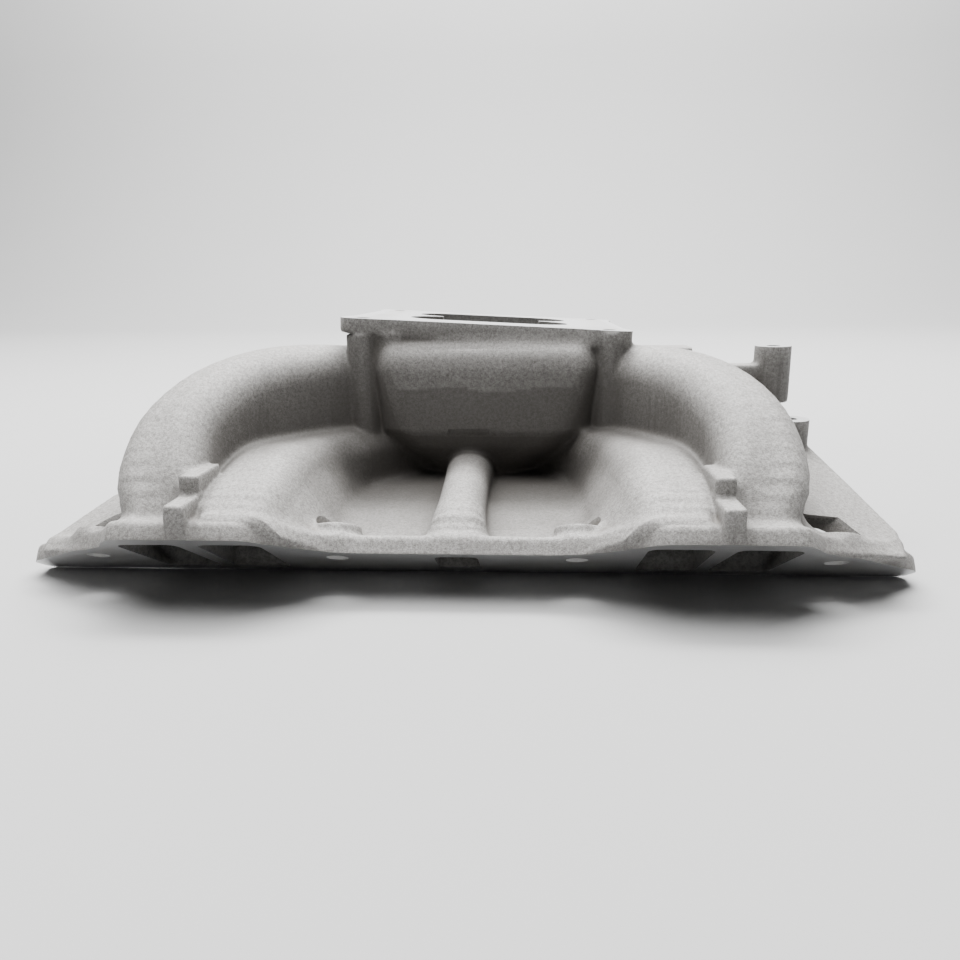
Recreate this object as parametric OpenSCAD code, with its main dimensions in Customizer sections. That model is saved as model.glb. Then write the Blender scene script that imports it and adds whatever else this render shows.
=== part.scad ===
// Dual-plane aluminium intake manifold for a V8 engine with a four-barrel
// square-bore carburettor.
// +X runs to the front of the engine, -Y is the near cylinder bank, +Z is up.
// The origin is under the middle of the casting, level with the lower edges
// of the two port faces.

/* [Port flanges] */
// Length of each port flange along the engine
flange_len = 452; // [446:1:458]
// Slope of the port faces above the horizontal
port_slope = 30.6; // [29:0.1:32]
// Distance from the centre plane to the lower edge of a port face
port_edge_y = 138.2; // [136:0.2:140]
// Thickness of a port flange
flange_t = 9.5; // [8.5:0.5:10.5]
// Height of the flange up its slope beside the runners
flange_h = 76; // [75:0.5:77]
// Height of the flange up its slope at mid length
flange_mid_h = 48.5; // [46:0.5:50]

/* [Ports] */
// Width of an intake port
port_w = 29.6; // [27:0.2:30]
// Height of an intake port up the slope
port_h = 55; // [50:1:56]
// Corner radius of a port
port_r = 5; // [2:0.5:8]
// Distance of the inner port of each pair from mid length
port_inner_x = 103.1; // [102.5:0.1:103.5]
// Distance of the outer port of each pair from mid length
port_outer_x = 140.8; // [140.5:0.1:142]
// Distance up the slope to the port centres
port_s = 36.9; // [36:0.1:38]
// Width of the heat crossover port
crossover_w = 21.8; // [18:0.2:24]
// Height of the heat crossover port up the slope
crossover_h = 28.5; // [24:0.5:30]
// Distance up the slope to the crossover port centre
crossover_s = 27.1; // [26:0.1:29]

/* [Bolt holes] */
// Diameter of a flange bolt hole
bolt_d = 10.5; // [9:0.5:12]
// Distance of the inner bolt holes from mid length
bolt_inner_x = 58.1; // [57:0.1:60]
// Distance of the outer bolt holes from mid length
bolt_outer_x = 178.8; // [177:0.1:180]
// Distance up the slope to the bolt holes
bolt_s = 37; // [36:0.5:38]
// Diameter of the spot-faced boss round a bolt hole
bolt_boss_d = 22; // [18:0.5:24]
// Height of the inner bolt bosses above the flange
bolt_boss_h = 6; // [3:0.5:8]

/* [Carburettor pad] */
// Length of the pad along the engine
pad_len = 169; // [166:1:172]
// Width of the pad across the engine
pad_wid = 151; // [148:1:154]
// Thickness of the pad
pad_t = 10; // [8:0.5:11]
// Forward tilt of the pad
pad_tilt = 3.2; // [2:0.1:4]
// Height of the pad's top face at its centre
pad_z = 125.2; // [124:0.2:127]
// Distance of the pad's centre ahead of mid length
pad_x = 9.6; // [8:0.2:11]
// Stud spacing along the engine
stud_len = 142.9; // [142:0.1:143.5]
// Stud spacing across the engine
stud_wid = 131; // [130:0.1:132]
// Diameter of a stud hole
stud_d = 7.9; // [6.3:0.1:9]
// Length of a barrel slot
slot_len = 99; // [92:1:102]
// Width of a barrel slot
slot_wid = 43; // [40:0.5:44]
// Distance between the centre lines of the two slots
slot_gap = 47.6; // [47:0.1:49]

/* [Plenum and runners] */
// Thickness of the cast walls
wall = 4.5; // [4:0.1:5]
// Rear face of the plenum
plenum_rear_x = -62; // [-63:0.5:-61]
// Front face of the plenum
plenum_front_x = 80; // [79:0.5:81]
// Half width of the upper plenum
upper_half_y = 79; // [78:0.5:80]
// Half width of the lower plenum
lower_half_y = 72; // [71:0.5:73]
// Underside of the lower plenum
lower_z = 22; // [20:0.5:23]
// Floor level between the two plenums
deck_z = 66; // [65.5:0.1:66]
// Roof level of the upper plenum
roof_z = 110; // [110:0.1:111]
// Top surface of the valley webs
web_z = 34; // [32:0.5:35]

/* [Hidden] */
$fn = 48;

CAST = [0.66, 0.65, 0.62];
STEEL = [0.55, 0.55, 0.52];

// Length of the overshoot that makes a cut pass clean through a face
over = 1;
// Side of the large blocks that stand for half spaces
far_away = 500;
// Facets round a runner and stretches along it
ring_sides = 16;
ring_steps = 9;
// A wall shared by two ports is split at its middle
start_w = port_outer_x - port_inner_x - 0.1;
start_h = port_h + 2 * wall - 1;
// Gap that keeps a trimmed solid off the curved face that it meets
trim_gap = 0.12;
port_squareness = 8;
duct_squareness = 3;
// Share of a route over which its direction is measured
tangent_span = 0.02;
// Rate at which a port's square section eases into the round one
easing = 2.5;

nub_d = 9;
nub_h = 3;
nub_gap = 15;
post_d = 19;
post_foot_z = deck_z;
tap_depth = 24;
crossover_end_z = 38;
crossover_bore_w = 20;
crossover_bore_h = 17;
web_t = 6;
// Fall of the valley webs for each millimetre from the plenum to the flange
web_fall = 0.107;
lug_t = 9.5;
lug_x = (port_inner_x + port_outer_x) / 2;
coil_boss = [184, -34];
coil_boss_d = 21.6;
coil_boss_z = [75, 109];
coil_hole_d = 8;
coil_arm_z = [78, 98];
front_boss = [185, -70];
front_boss_d = 22.4;
front_boss_z = [44, 70];
front_hole_d = 9;
vacuum_pos = [152, 58, 91];
// Length of the vacuum block, reaching back into the runner behind it, its width and height
vacuum_block = [56, 26, 22];
vacuum_bore_len = 19;
// Depth of the plug's end below the face of the block
plug_sink = 1;
plug_d = 16;
plug_len = 11;
plug_square = 8;
mid_y = stud_wid / 2;

// ---------------------------------------------------------------- geometry

function unit(v) = v / norm(v);

// Point on a near port face, raised into the casting by t
function face_point(x, s, t) = [
    x,
    -(port_edge_y + s * cos(port_slope)) + t * sin(port_slope),
    s * sin(port_slope) + t * cos(port_slope)
];
into_casting = [0, sin(port_slope), cos(port_slope)];

// Smooth curve through the stations of a route
function blend(a, b, c, d, f) = 0.5 * (
    2 * b + (c - a) * f + (2 * a - 5 * b + 4 * c - d) * f * f
    + (3 * b - a - 3 * c + d) * f * f * f
);
function along(route, t) =
    let (
        n = len(route) - 1,
        i = min(floor(t * n), n - 1),
        b = route[i],
        c = route[i + 1],
        a = i > 0 ? route[i - 1] : 2 * b - c,
        d = i + 2 <= n ? route[i + 2] : 2 * c - b
    )
    blend(a, b, c, d, t * n - i);

// Rounded-square ring across the direction dir, keeping its width level
function ring(centre, dir, w, h, square_) =
    let (
        u = unit(cross(dir, [0, 0, 1])),
        v = cross(u, dir)
    )
    [for (k = [0 : ring_sides - 1])
        let (
            a = 360 * (k + 0.5) / ring_sides,
            r = pow(pow(abs(cos(a)), square_) + pow(abs(sin(a)), square_), -1 / square_)
        )
        centre + u * (w / 2 * r * cos(a)) + v * (h / 2 * r * sin(a))];

// All rings of a route, each station being [x, y, z, width, height]
function duct_rings(route, first_dir, last_dir, inset) =
    [for (i = [0 : ring_steps])
        let (
            t = i / ring_steps,
            p = along(route, t),
            q0 = along(route, max(0, t - tangent_span)),
            q1 = along(route, min(1, t + tangent_span)),
            step = [q1[0] - q0[0], q1[1] - q0[1], q1[2] - q0[2]],
            dir = i == 0 ? first_dir : i == ring_steps ? last_dir : unit(step),
            k = min(1, t * easing),
            sq = port_squareness + (duct_squareness - port_squareness) * k
        )
        ring([p[0], p[1], p[2]], dir, p[3] - 2 * inset, p[4] - 2 * inset, sq)];

function flat_list(lists) = [for (l = lists) each l];

// Hollow duct: outer skin, inner skin and a rim at each end
module duct(route, first_dir, last_dir, thick) {
    n = ring_sides;
    outer_rings = duct_rings(route, first_dir, last_dir, 0);
    inner_rings = duct_rings(route, first_dir, last_dir, thick);
    base = n * (ring_steps + 1);
    last = n * ring_steps;
    polyhedron(
        points = flat_list(concat(outer_rings, inner_rings)),
        faces = concat(
            [for (i = [0 : ring_steps - 1], k = [0 : n - 1])
                [i * n + k, i * n + (k + 1) % n, (i + 1) * n + (k + 1) % n, (i + 1) * n + k]],
            [for (i = [0 : ring_steps - 1], k = [0 : n - 1])
                [base + i * n + k, base + (i + 1) * n + k,
                 base + (i + 1) * n + (k + 1) % n, base + i * n + (k + 1) % n]],
            [for (k = [0 : n - 1])
                [k, base + k, base + (k + 1) % n, (k + 1) % n]],
            [for (k = [0 : n - 1])
                [last + k, last + (k + 1) % n, base + last + (k + 1) % n, base + last + k]]
        ),
        convexity = 6
    );
}

// Solid of a duct's outside, or with a full inset of its passage, used for trimming
module duct_core(route, first_dir, last_dir, inset = -trim_gap / 2) {
    n = ring_sides;
    last = n * ring_steps;
    polyhedron(
        points = flat_list(duct_rings(route, first_dir, last_dir, inset)),
        faces = concat(
            [for (i = [0 : ring_steps - 1], k = [0 : n - 1])
                [i * n + k, i * n + (k + 1) % n, (i + 1) * n + (k + 1) % n, (i + 1) * n + k]],
            [[for (k = [n - 1 : -1 : 0]) k]],
            [[for (k = [0 : n - 1]) last + k]]
        ),
        convexity = 6
    );
}

module far_side() {
    mirror([0, 1, 0]) children();
}

module on_near_face() {
    translate([0, -port_edge_y, 0]) rotate([180 - port_slope, 0, 0]) children();
}

// Everything from the back of the near flange outwards
module near_flange_space() {
    on_near_face() translate([-far_away / 2, -far_away / 2, -flange_t])
        cube([far_away, far_away, far_away]);
}

// Everything above the underside of the pad
module above_pad_seat() {
    on_pad() translate([-far_away / 2, -far_away / 2, -pad_t])
        cube([far_away, far_away, far_away]);
}

module on_pad() {
    translate([pad_x, 0, pad_z]) rotate([0, pad_tilt, 0]) children();
}

function rounded_rect(w, h, r) = flat_list([
    for (c = [[1, 1, 0], [-1, 1, 90], [-1, -1, 180], [1, -1, 270]])
        [for (a = [0 : 22.5 : 90])
            [c[0] * (w / 2 - r) + r * cos(c[2] + a), c[1] * (h / 2 - r) + r * sin(c[2] + a)]]
]);

// ----------------------------------------------------------------- flanges

half = flange_len / 2;
half_outline = [
    [0, flange_mid_h], [45, flange_mid_h], [54, flange_mid_h + 2], [66, 53], [74, 61], [84, 67],
    [92, flange_h], [150, flange_h], [157, flange_h - 2.5], [168, 57], [186, 46.5], [209, 27],
    [half - 3, 18.5], [half, 15], [half, 3], [half - 3, 0]
];

module flange_outline() {
    polygon(concat(
        half_outline,
        [for (i = [len(half_outline) - 1 : -1 : 1]) [-half_outline[i][0], half_outline[i][1]]]
    ));
}

module port_cut(x, s, w, h, r) {
    translate([x, s, -flange_t - over]) linear_extrude(flange_t + 2 * over)
        polygon(rounded_rect(w, h, r));
}

module bolt_hole(x) {
    translate([x, bolt_s, -flange_t - bolt_boss_h - over])
        cylinder(d = bolt_d, h = flange_t + bolt_boss_h + 2 * over);
}

// Room round the near bolt bosses and nubs, open above them for the bolts and a socket
module bolt_room() {
    room_gap = 0.5;
    room_h = 60;
    on_near_face() {
        for (x = [-bolt_outer_x, -bolt_inner_x, bolt_inner_x, bolt_outer_x])
            translate([x, bolt_s, -room_h]) cylinder(d = bolt_boss_d + 2 * room_gap, h = room_h);
        for (side = [-1, 1])
            translate([side * (bolt_inner_x + nub_gap), bolt_s + nub_h, -flange_t - nub_h])
                cylinder(d = nub_d + room_gap, h = flange_t);
    }
}

module bolt_boss(x, height) {
    translate([x, bolt_s, -flange_t - height]) cylinder(d = bolt_boss_d, h = height + over);
}

// Places along the engine where the sections of a flange meet
tip_x = half + over;
frame_outer_x = 160;
frame_shared_x = (port_inner_x + port_outer_x) / 2;
frame_inner_x = 83;
frame_middle_x = 25;

// Stretch of the bare flange plate between two places along the engine
module flange_plate(x_low, x_high) {
    translate([0, 0, -flange_t]) linear_extrude(flange_t) intersection() {
        flange_outline();
        translate([x_low, -over]) square([x_high - x_low, flange_h + 2 * over]);
    }
}

// Tip of the flange, with a spot-faced bolt boss
module flange_end(side) {
    outer_boss_h = 3;
    low = side > 0 ? frame_outer_x : -tip_x;
    high = side > 0 ? tip_x : -frame_outer_x;
    color(CAST) on_near_face() difference() {
        union() {
            flange_plate(low, high);
            bolt_boss(side * bolt_outer_x, outer_boss_h);
        }
        bolt_hole(side * bolt_outer_x);
    }
}

// Stretch of the flange between the crossover port and a pair of ports
module flange_middle(side) {
    low = side > 0 ? frame_middle_x : -frame_inner_x;
    high = side > 0 ? frame_inner_x : -frame_middle_x;
    color(CAST) on_near_face() difference() {
        union() {
            flange_plate(low, high);
            bolt_boss(side * bolt_inner_x, bolt_boss_h);
            translate([side * (bolt_inner_x + nub_gap), bolt_s + nub_h, -flange_t - nub_h])
                cylinder(d = nub_d, h = nub_h + over);
        }
        bolt_hole(side * bolt_inner_x);
    }
}

// Stretch of the flange round one intake port
module port_frame(x_low, x_high, x) {
    color(CAST) on_near_face() difference() {
        flange_plate(x_low, x_high);
        port_cut(x, port_s, port_w, port_h, port_r);
    }
}

module crossover_frame() {
    crossover_r = 3;
    color(CAST) on_near_face() difference() {
        flange_plate(-frame_middle_x, frame_middle_x);
        port_cut(0, crossover_s, crossover_w, crossover_h, crossover_r);
    }
}

module near_flange_rear_end() {
    flange_end(-1);
}

module near_port_frame_7() {
    port_frame(-frame_outer_x, -frame_shared_x, -port_outer_x);
}

module near_port_frame_5() {
    port_frame(-frame_shared_x, -frame_inner_x, -port_inner_x);
}

module near_flange_rear_middle() {
    flange_middle(-1);
}

module near_crossover_frame() {
    crossover_frame();
}

module near_flange_front_middle() {
    flange_middle(1);
}

module near_port_frame_3() {
    port_frame(frame_inner_x, frame_shared_x, port_inner_x);
}

module near_port_frame_1() {
    port_frame(frame_shared_x, frame_outer_x, port_outer_x);
}

module near_flange_front_end() {
    flange_end(1);
}

module far_flange_rear_end() {
    far_side() flange_end(-1);
}

module far_port_frame_8() {
    far_side() port_frame(-frame_outer_x, -frame_shared_x, -port_outer_x);
}

module far_port_frame_6() {
    far_side() port_frame(-frame_shared_x, -frame_inner_x, -port_inner_x);
}

module far_flange_rear_middle() {
    far_side() flange_middle(-1);
}

module far_crossover_frame() {
    far_side() crossover_frame();
}

module far_flange_front_middle() {
    far_side() flange_middle(1);
}

module far_port_frame_4() {
    far_side() port_frame(frame_inner_x, frame_shared_x, port_inner_x);
}

module far_port_frame_2() {
    far_side() port_frame(frame_shared_x, frame_outer_x, port_outer_x);
}

module far_flange_front_end() {
    far_side() flange_end(1);
}

// ----------------------------------------------------------------- runners

// First station of a runner: the back of the flange round its port
function start(x) = concat(face_point(x, port_s, flange_t), [start_w, start_h]);

high_near_front = [
    start(port_outer_x), [141.6, -153, 48, 39.2, 56], [142, -133, 68, 41, 50],
    [131, -105, 83, 42, 44], [111, -75, 88, 44, 43], [plenum_front_x, -52, 88, 44, 43]
];
high_near_rear = [
    start(-port_outer_x), [-141.6, -153, 48, 39.2, 56], [-142, -133, 69, 41, 50],
    [-128, -103, 86, 42, 44], [-102, -74, 91, 44, 45], [plenum_rear_x, -52, 88, 44, 43]
];
low_near_front = [
    start(port_inner_x), [102.5, -150, 36, 36.6, 50], [101.5, -128, 42, 38.6, 46],
    [98, -104, 44, 42, 42], [87, -78, 44, 43, 42], [58, -40, 44, 43, 42]
];
low_near_rear = [
    start(-port_inner_x), [-102.5, -150, 36, 36.6, 50], [-101.5, -128, 42, 38.6, 46],
    [-97, -104, 44, 42, 42], [-83, -78, 44, 43, 42], [-42, -40, 44, 43, 42]
];
// The far bank is described as if it were near, and mirrored into place
high_far_front = [
    start(port_inner_x), [102, -153, 46, 37, 54], [101, -134, 64, 38, 46],
    [101, -108, 82, 42, 40], [99, -74, 86, 44, 38], [plenum_front_x, -48, 87, 44, 40]
];
high_far_rear = [
    start(-port_inner_x), [-102, -153, 46, 37, 54], [-101, -134, 64, 38, 46],
    [-99, -106, 82, 42, 40], [-89, -78, 86, 44, 38], [plenum_rear_x, -52, 87, 44, 40]
];
low_far_front = [
    start(port_outer_x), [142, -150, 36, 38, 50], [143.5, -126, 41, 40, 44],
    [136, -98, 43, 42, 42], [114, -66, 44, 44, 42], [plenum_front_x, -48, 44, 44, 42]
];
low_far_rear = [
    start(-port_outer_x), [-142, -150, 36, 38, 50], [-143.5, -126, 41, 40, 44],
    [-134, -98, 43, 42, 42], [-106, -66, 44, 44, 42], [plenum_rear_x, -48, 44, 44, 42]
];
to_front = [1, 0, 0];
to_rear = [-1, 0, 0];
// Directions in which the slanting runners enter the corners of the plenum
to_middle_front = [-0.61, 0.79, 0];
to_middle_rear = [0.73, 0.68, 0];

module low_runner(route, last_dir) {
    color(CAST) duct(route, into_casting, last_dir, wall);
}

// A low runner that slants through a corner of the lower plenum
module slanting_low_runner(route, last_dir) {
    color(CAST) difference() {
        duct(route, into_casting, last_dir, wall);
        lower_plenum_block();
    }
}

// A high runner passes round the stud post at its corner of the plenum
module high_runner(route, last_dir) {
    color(CAST) difference() {
        duct(route, into_casting, last_dir, wall);
        stud_column(-last_dir[0] / abs(last_dir[0]));
    }
}

// A high runner that lies close along the upper plenum
module close_high_runner(route, last_dir) {
    color(CAST) difference() {
        duct(route, into_casting, last_dir, wall);
        stud_column(-last_dir[0] / abs(last_dir[0]));
        upper_plenum_block();
    }
}

module runner_1_near_outer_front() {
    high_runner(high_near_front, to_rear);
}

module runner_3_near_inner_front() {
    slanting_low_runner(low_near_front, to_middle_front);
}

module runner_5_near_inner_rear() {
    slanting_low_runner(low_near_rear, to_middle_rear);
}

module runner_7_near_outer_rear() {
    high_runner(high_near_rear, to_front);
}

module runner_2_far_outer_front() {
    far_side() low_runner(low_far_front, to_rear);
}

module runner_4_far_inner_front() {
    far_side() close_high_runner(high_far_front, to_rear);
}

module runner_6_far_inner_rear() {
    far_side() high_runner(high_far_rear, to_front);
}

module runner_8_far_outer_rear() {
    far_side() low_runner(low_far_rear, to_front);
}

// Opening in a plenum side wall where a runner ends
module runner_mouth(route) {
    end = route[len(route) - 1];
    mouth = ring([0, 0, 0], to_front, end[3] - 2 * wall, end[4] - 2 * wall, duct_squareness);
    translate([end[0], end[1], end[2]]) rotate([0, 90, 0])
        translate([0, 0, -wall - over]) linear_extrude(2 * wall + 2 * over)
            polygon([for (p = mouth) [-p[2], p[1]]]);
}

// ------------------------------------------------------------------ plenum

module post_places() {
    for (x = [-1, 1], y = [-1, 1])
        on_pad() translate([x * stud_len / 2, y * stud_wid / 2, 0]) children();
}

// Vertical column under each stud hole, grown by gap
module post_columns(gap) {
    for (x = [-1, 1], y = [-1, 1])
        translate([pad_x + x * stud_len / 2, y * mid_y, post_foot_z])
            cylinder(d = post_d + 2 * gap, h = pad_z);
}

// The column at the near end of one side
module stud_column(x) {
    translate([pad_x + x * stud_len / 2, -mid_y, post_foot_z])
        cylinder(d = post_d + 2 * trim_gap, h = pad_z);
}

module box_between(low, high) {
    translate(low) cube(high - low);
}

module slot_column(y, z_low, z_high, gap) {
    radius = slot_wid / 2 + gap;
    reach = slot_len / 2 - slot_wid / 2;
    for (side = [-1, 1])
        translate([pad_x + side * reach, y, z_low]) cylinder(r = radius, h = z_high - z_low);
    translate([pad_x - reach, y - radius, z_low]) cube([2 * reach, 2 * radius, z_high - z_low]);
}

near_slot_y = -slot_gap / 2;
far_slot_y = slot_gap / 2;

module lower_plenum_block() {
    box_between(
        [plenum_rear_x, -lower_half_y, lower_z],
        [plenum_front_x, lower_half_y, deck_z]
    );
}

module upper_plenum_block() {
    box_between(
        [plenum_rear_x, -upper_half_y, deck_z],
        [plenum_front_x, upper_half_y, roof_z]
    );
}

passage_half_x = crossover_bore_w / 2 + wall;
passage_top_z = crossover_end_z + crossover_bore_h / 2 + wall;

module passage_block() {
    box_between(
        [-passage_half_x, -lower_half_y, lower_z],
        [passage_half_x, lower_half_y, passage_top_z]
    );
}

module lower_plenum() {
    color(CAST) difference() {
        lower_plenum_block();
        box_between(
            [plenum_rear_x + wall, -lower_half_y + wall, lower_z + wall],
            [plenum_front_x - wall, lower_half_y - wall, deck_z + over]
        );
        passage_block();
        duct_core(low_near_front, into_casting, to_middle_front, wall);
        duct_core(low_near_rear, into_casting, to_middle_rear, wall);
        far_side() runner_mouth(low_far_front);
        far_side() runner_mouth(low_far_rear);
    }
}

// Duct for exhaust gas across the floor of the lower plenum
module plenum_exhaust_passage() {
    color(CAST) difference() {
        passage_block();
        box_between(
            [-crossover_bore_w / 2, -lower_half_y - over, crossover_end_z - crossover_bore_h / 2],
            [crossover_bore_w / 2, lower_half_y + over, crossover_end_z + crossover_bore_h / 2]
        );
    }
}

module upper_plenum() {
    color(CAST) difference() {
        upper_plenum_block();
        post_columns(trim_gap);
        difference() {
            box_between(
                [plenum_rear_x + wall, -upper_half_y + wall, deck_z + wall],
                [plenum_front_x - wall, upper_half_y - wall, roof_z - wall]
            );
            post_columns(wall);
            slot_column(far_slot_y, deck_z, roof_z, wall / 2);
        }
        slot_column(far_slot_y, deck_z - over, roof_z + over, -wall / 2);
        slot_column(near_slot_y, roof_z - wall - over, roof_z + over, -wall / 2);
        runner_mouth(high_near_front);
        runner_mouth(high_near_rear);
        far_side() runner_mouth(high_far_front);
        far_side() runner_mouth(high_far_rear);
    }
}

module carburettor_riser() {
    riser_margin = 6;
    riser_half_y = mid_y + riser_margin;
    color(CAST) difference() {
        box_between(
            [plenum_rear_x, -riser_half_y, roof_z],
            [plenum_front_x, riser_half_y, pad_z]
        );
        above_pad_seat();
        post_columns(trim_gap);
        slot_column(far_slot_y, roof_z - over, pad_z, -wall / 2);
        slot_column(near_slot_y, roof_z - over, pad_z, -wall / 2);
    }
}

pad_waist = 4;
ear_len = 30;
// Run of the ramp between an ear and the drawn-in edge
ear_ramp = 8;
pad_r = 8;

// Outline of one corner ear of the pad, turned into the corner with signs x and y
function pad_ear(x, y) =
    let (
        length = pad_len / 2,
        width = pad_wid / 2,
        ear = concat(
            [[length - pad_waist, width - ear_len], [length, width - ear_len + ear_ramp]],
            [for (a = [0 : 22.5 : 90])
                [length - pad_r + pad_r * cos(a), width - pad_r + pad_r * sin(a)]],
            [[length - ear_len, width], [length - ear_len - ear_ramp, width - pad_waist]]
        ),
        n = len(ear)
    )
    [for (i = [0 : n - 1])
        let (p = ear[x * y > 0 ? i : n - 1 - i])
        [x * p[0], y * p[1]]];

module pad_outline() {
    polygon(concat(pad_ear(1, 1), pad_ear(-1, 1), pad_ear(-1, -1), pad_ear(1, -1)));
}

module carburettor_pad() {
    notch_len = 63;
    notch_depth = 6;
    reach = slot_len / 2 - slot_wid / 2;
    color(CAST) difference() {
        on_pad() difference() {
            translate([0, 0, -pad_t]) linear_extrude(pad_t) pad_outline();
            for (y = [near_slot_y, far_slot_y]) {
                for (side = [-1, 1])
                    translate([side * reach, y, -pad_t - over])
                        cylinder(d = slot_wid, h = pad_t + 2 * over);
                translate([-reach, y - slot_wid / 2, -pad_t - over])
                    cube([2 * reach, slot_wid, pad_t + 2 * over]);
            }
            translate([-notch_len / 2, -slot_gap / 2, -notch_depth])
                cube([notch_len, slot_gap, notch_depth + over]);
        }
        post_places() translate([0, 0, -pad_t - over]) cylinder(d = stud_d, h = pad_t + 2 * over);
    }
}

module stud_post(x, y) {
    color(CAST) difference() {
        translate([pad_x + x * stud_len / 2, y * mid_y, post_foot_z])
            cylinder(d = post_d, h = pad_z);
        above_pad_seat();
        on_pad() translate([x * stud_len / 2, y * stud_wid / 2, -pad_t - tap_depth])
            cylinder(d = stud_d, h = tap_depth + over);
    }
}

module stud_post_near_front() {
    stud_post(1, -1);
}

module stud_post_near_rear() {
    stud_post(-1, -1);
}

module stud_post_far_front() {
    stud_post(1, 1);
}

module stud_post_far_rear() {
    stud_post(-1, 1);
}

// ------------------------------------------------------- crossover and webs

crossover_start = face_point(0, crossover_s, flange_t);
crossover_route = [
    concat(crossover_start, [crossover_w + 2 * wall, crossover_h + 2 * wall]),
    [0, -148, 33, 30, 32],
    [0, -112, 37, 29, 27],
    [0, -lower_half_y, crossover_end_z, crossover_bore_w + 2 * wall, crossover_bore_h + 2 * wall]
];

module crossover() {
    duct(crossover_route, into_casting, [0, 1, 0], wall);
}

module near_heat_crossover() {
    color(CAST) crossover();
}

module far_heat_crossover() {
    color(CAST) far_side() crossover();
}

// Sloping plate with a flat bottom parallel to its top
module sloping_plate(top, t) {
    n = len(top);
    polyhedron(
        points = concat(top, [for (p = top) p - [0, 0, t]]),
        faces = concat(
            [[for (i = [0 : n - 1]) i]],
            [[for (i = [n - 1 : -1 : 0]) n + i]],
            [for (i = [0 : n - 1]) [(i + 1) % n, i, n + i, n + (i + 1) % n]]
        )
    );
}

function web_top(y) = web_z + web_fall * (y + lower_half_y);

// Plate between the crossover, the flange and the plenum
module valley_plate(edge) {
    difference() {
        sloping_plate([for (p = edge) [p[0], p[1], web_top(p[1])]], web_t);
        near_flange_space();
        bolt_room();
        duct_core(crossover_route, into_casting, [0, 1, 0]);
    }
}

// The same plate beside a low runner
module near_valley_web(edge, route, last_dir) {
    color(CAST) difference() {
        valley_plate(edge);
        duct_core(route, into_casting, last_dir);
    }
}

web_root_x = 5;
web_end_y = -185;
near_front_web_edge = [
    [web_root_x, web_end_y], [web_root_x, -lower_half_y], [72, -lower_half_y], [78, -74],
    [84, -110], [84, web_end_y]
];
near_rear_web_edge = [
    [-84, web_end_y], [-84, -110], [-66, -74], [-60, -lower_half_y],
    [-web_root_x, -lower_half_y], [-web_root_x, web_end_y]
];

module near_front_valley_web() {
    near_valley_web(near_front_web_edge, low_near_front, to_middle_front);
}

module near_rear_valley_web() {
    near_valley_web(near_rear_web_edge, low_near_rear, to_middle_rear);
}

far_front_web_edge = [
    [web_root_x, web_end_y], [web_root_x, -lower_half_y],
    [frame_inner_x - web_root_x, -lower_half_y], [frame_inner_x - web_root_x, web_end_y]
];
far_rear_web_edge = [
    [web_root_x - frame_inner_x, web_end_y], [plenum_rear_x, -lower_half_y],
    [-web_root_x, -lower_half_y], [-web_root_x, web_end_y]
];

module far_front_valley_web() {
    color(CAST) far_side() valley_plate(far_front_web_edge);
}

module far_rear_valley_web() {
    color(CAST) far_side() valley_plate(far_rear_web_edge);
}

// ------------------------------------------------------------ lugs and bosses

// Stepped fin standing between the two runners of a pair
module stepped_lug(x, outer_route, outer_dir, inner_route, inner_dir) {
    foot_z = 44;
    step_z = 55;
    top_z = 63.5;
    tip = 205;
    step = 185;
    root = 158;
    difference() {
        translate([x + lug_t / 2, 0, 0]) rotate([90, 0, -90]) linear_extrude(lug_t)
            polygon([
                [tip, foot_z], [tip, step_z], [step, step_z], [step, top_z], [root, top_z], [root, foot_z]
            ]);
        near_flange_space();
        duct_core(outer_route, into_casting, outer_dir);
        duct_core(inner_route, into_casting, inner_dir);
    }
}

module near_front_lug() {
    color(CAST) stepped_lug(lug_x, high_near_front, to_rear, low_near_front, to_middle_front);
}

module near_rear_lug() {
    color(CAST) stepped_lug(-lug_x, high_near_rear, to_front, low_near_rear, to_middle_rear);
}

module far_front_lug() {
    color(CAST) far_side() stepped_lug(lug_x, low_far_front, to_rear, high_far_front, to_rear);
}

module far_rear_lug() {
    color(CAST) far_side() stepped_lug(-lug_x, low_far_rear, to_front, high_far_rear, to_front);
}

module coil_bracket_boss() {
    hole_depth = 25;
    color(CAST) difference() {
        translate([coil_boss[0], coil_boss[1], coil_boss_z[0]])
            cylinder(d = coil_boss_d, h = coil_boss_z[1] - coil_boss_z[0]);
        translate([coil_boss[0], coil_boss[1], coil_boss_z[1] - hole_depth])
            cylinder(d = coil_hole_d, h = hole_depth + over);
    }
}

module coil_bracket_arm() {
    arm_t = 12;
    color(CAST) difference() {
        box_between(
            [plenum_front_x, coil_boss[1] - arm_t / 2, coil_arm_z[0]],
            [coil_boss[0], coil_boss[1] + arm_t / 2, coil_arm_z[1]]
        );
        translate([coil_boss[0], coil_boss[1], coil_boss_z[0] - over])
            cylinder(d = coil_boss_d, h = coil_boss_z[1]);
        duct_core(high_near_front, into_casting, to_rear);
    }
}

module front_accessory_boss() {
    hole_depth = 18;
    color(CAST) difference() {
        translate([front_boss[0], front_boss[1], front_boss_z[0]])
            cylinder(d = front_boss_d, h = front_boss_z[1] - front_boss_z[0]);
        translate([front_boss[0], front_boss[1], front_boss_z[1] - hole_depth])
            cylinder(d = front_hole_d, h = hole_depth + over);
    }
}

// Height of the end webs, planes that fall towards the flange tips
end_web_t = 8;
end_web_z = 36;
rear_web_drop = 4;
function end_web_top(x, y) = end_web_z - 0.27 * (x - 190) + 0.28 * (y + 140);

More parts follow.
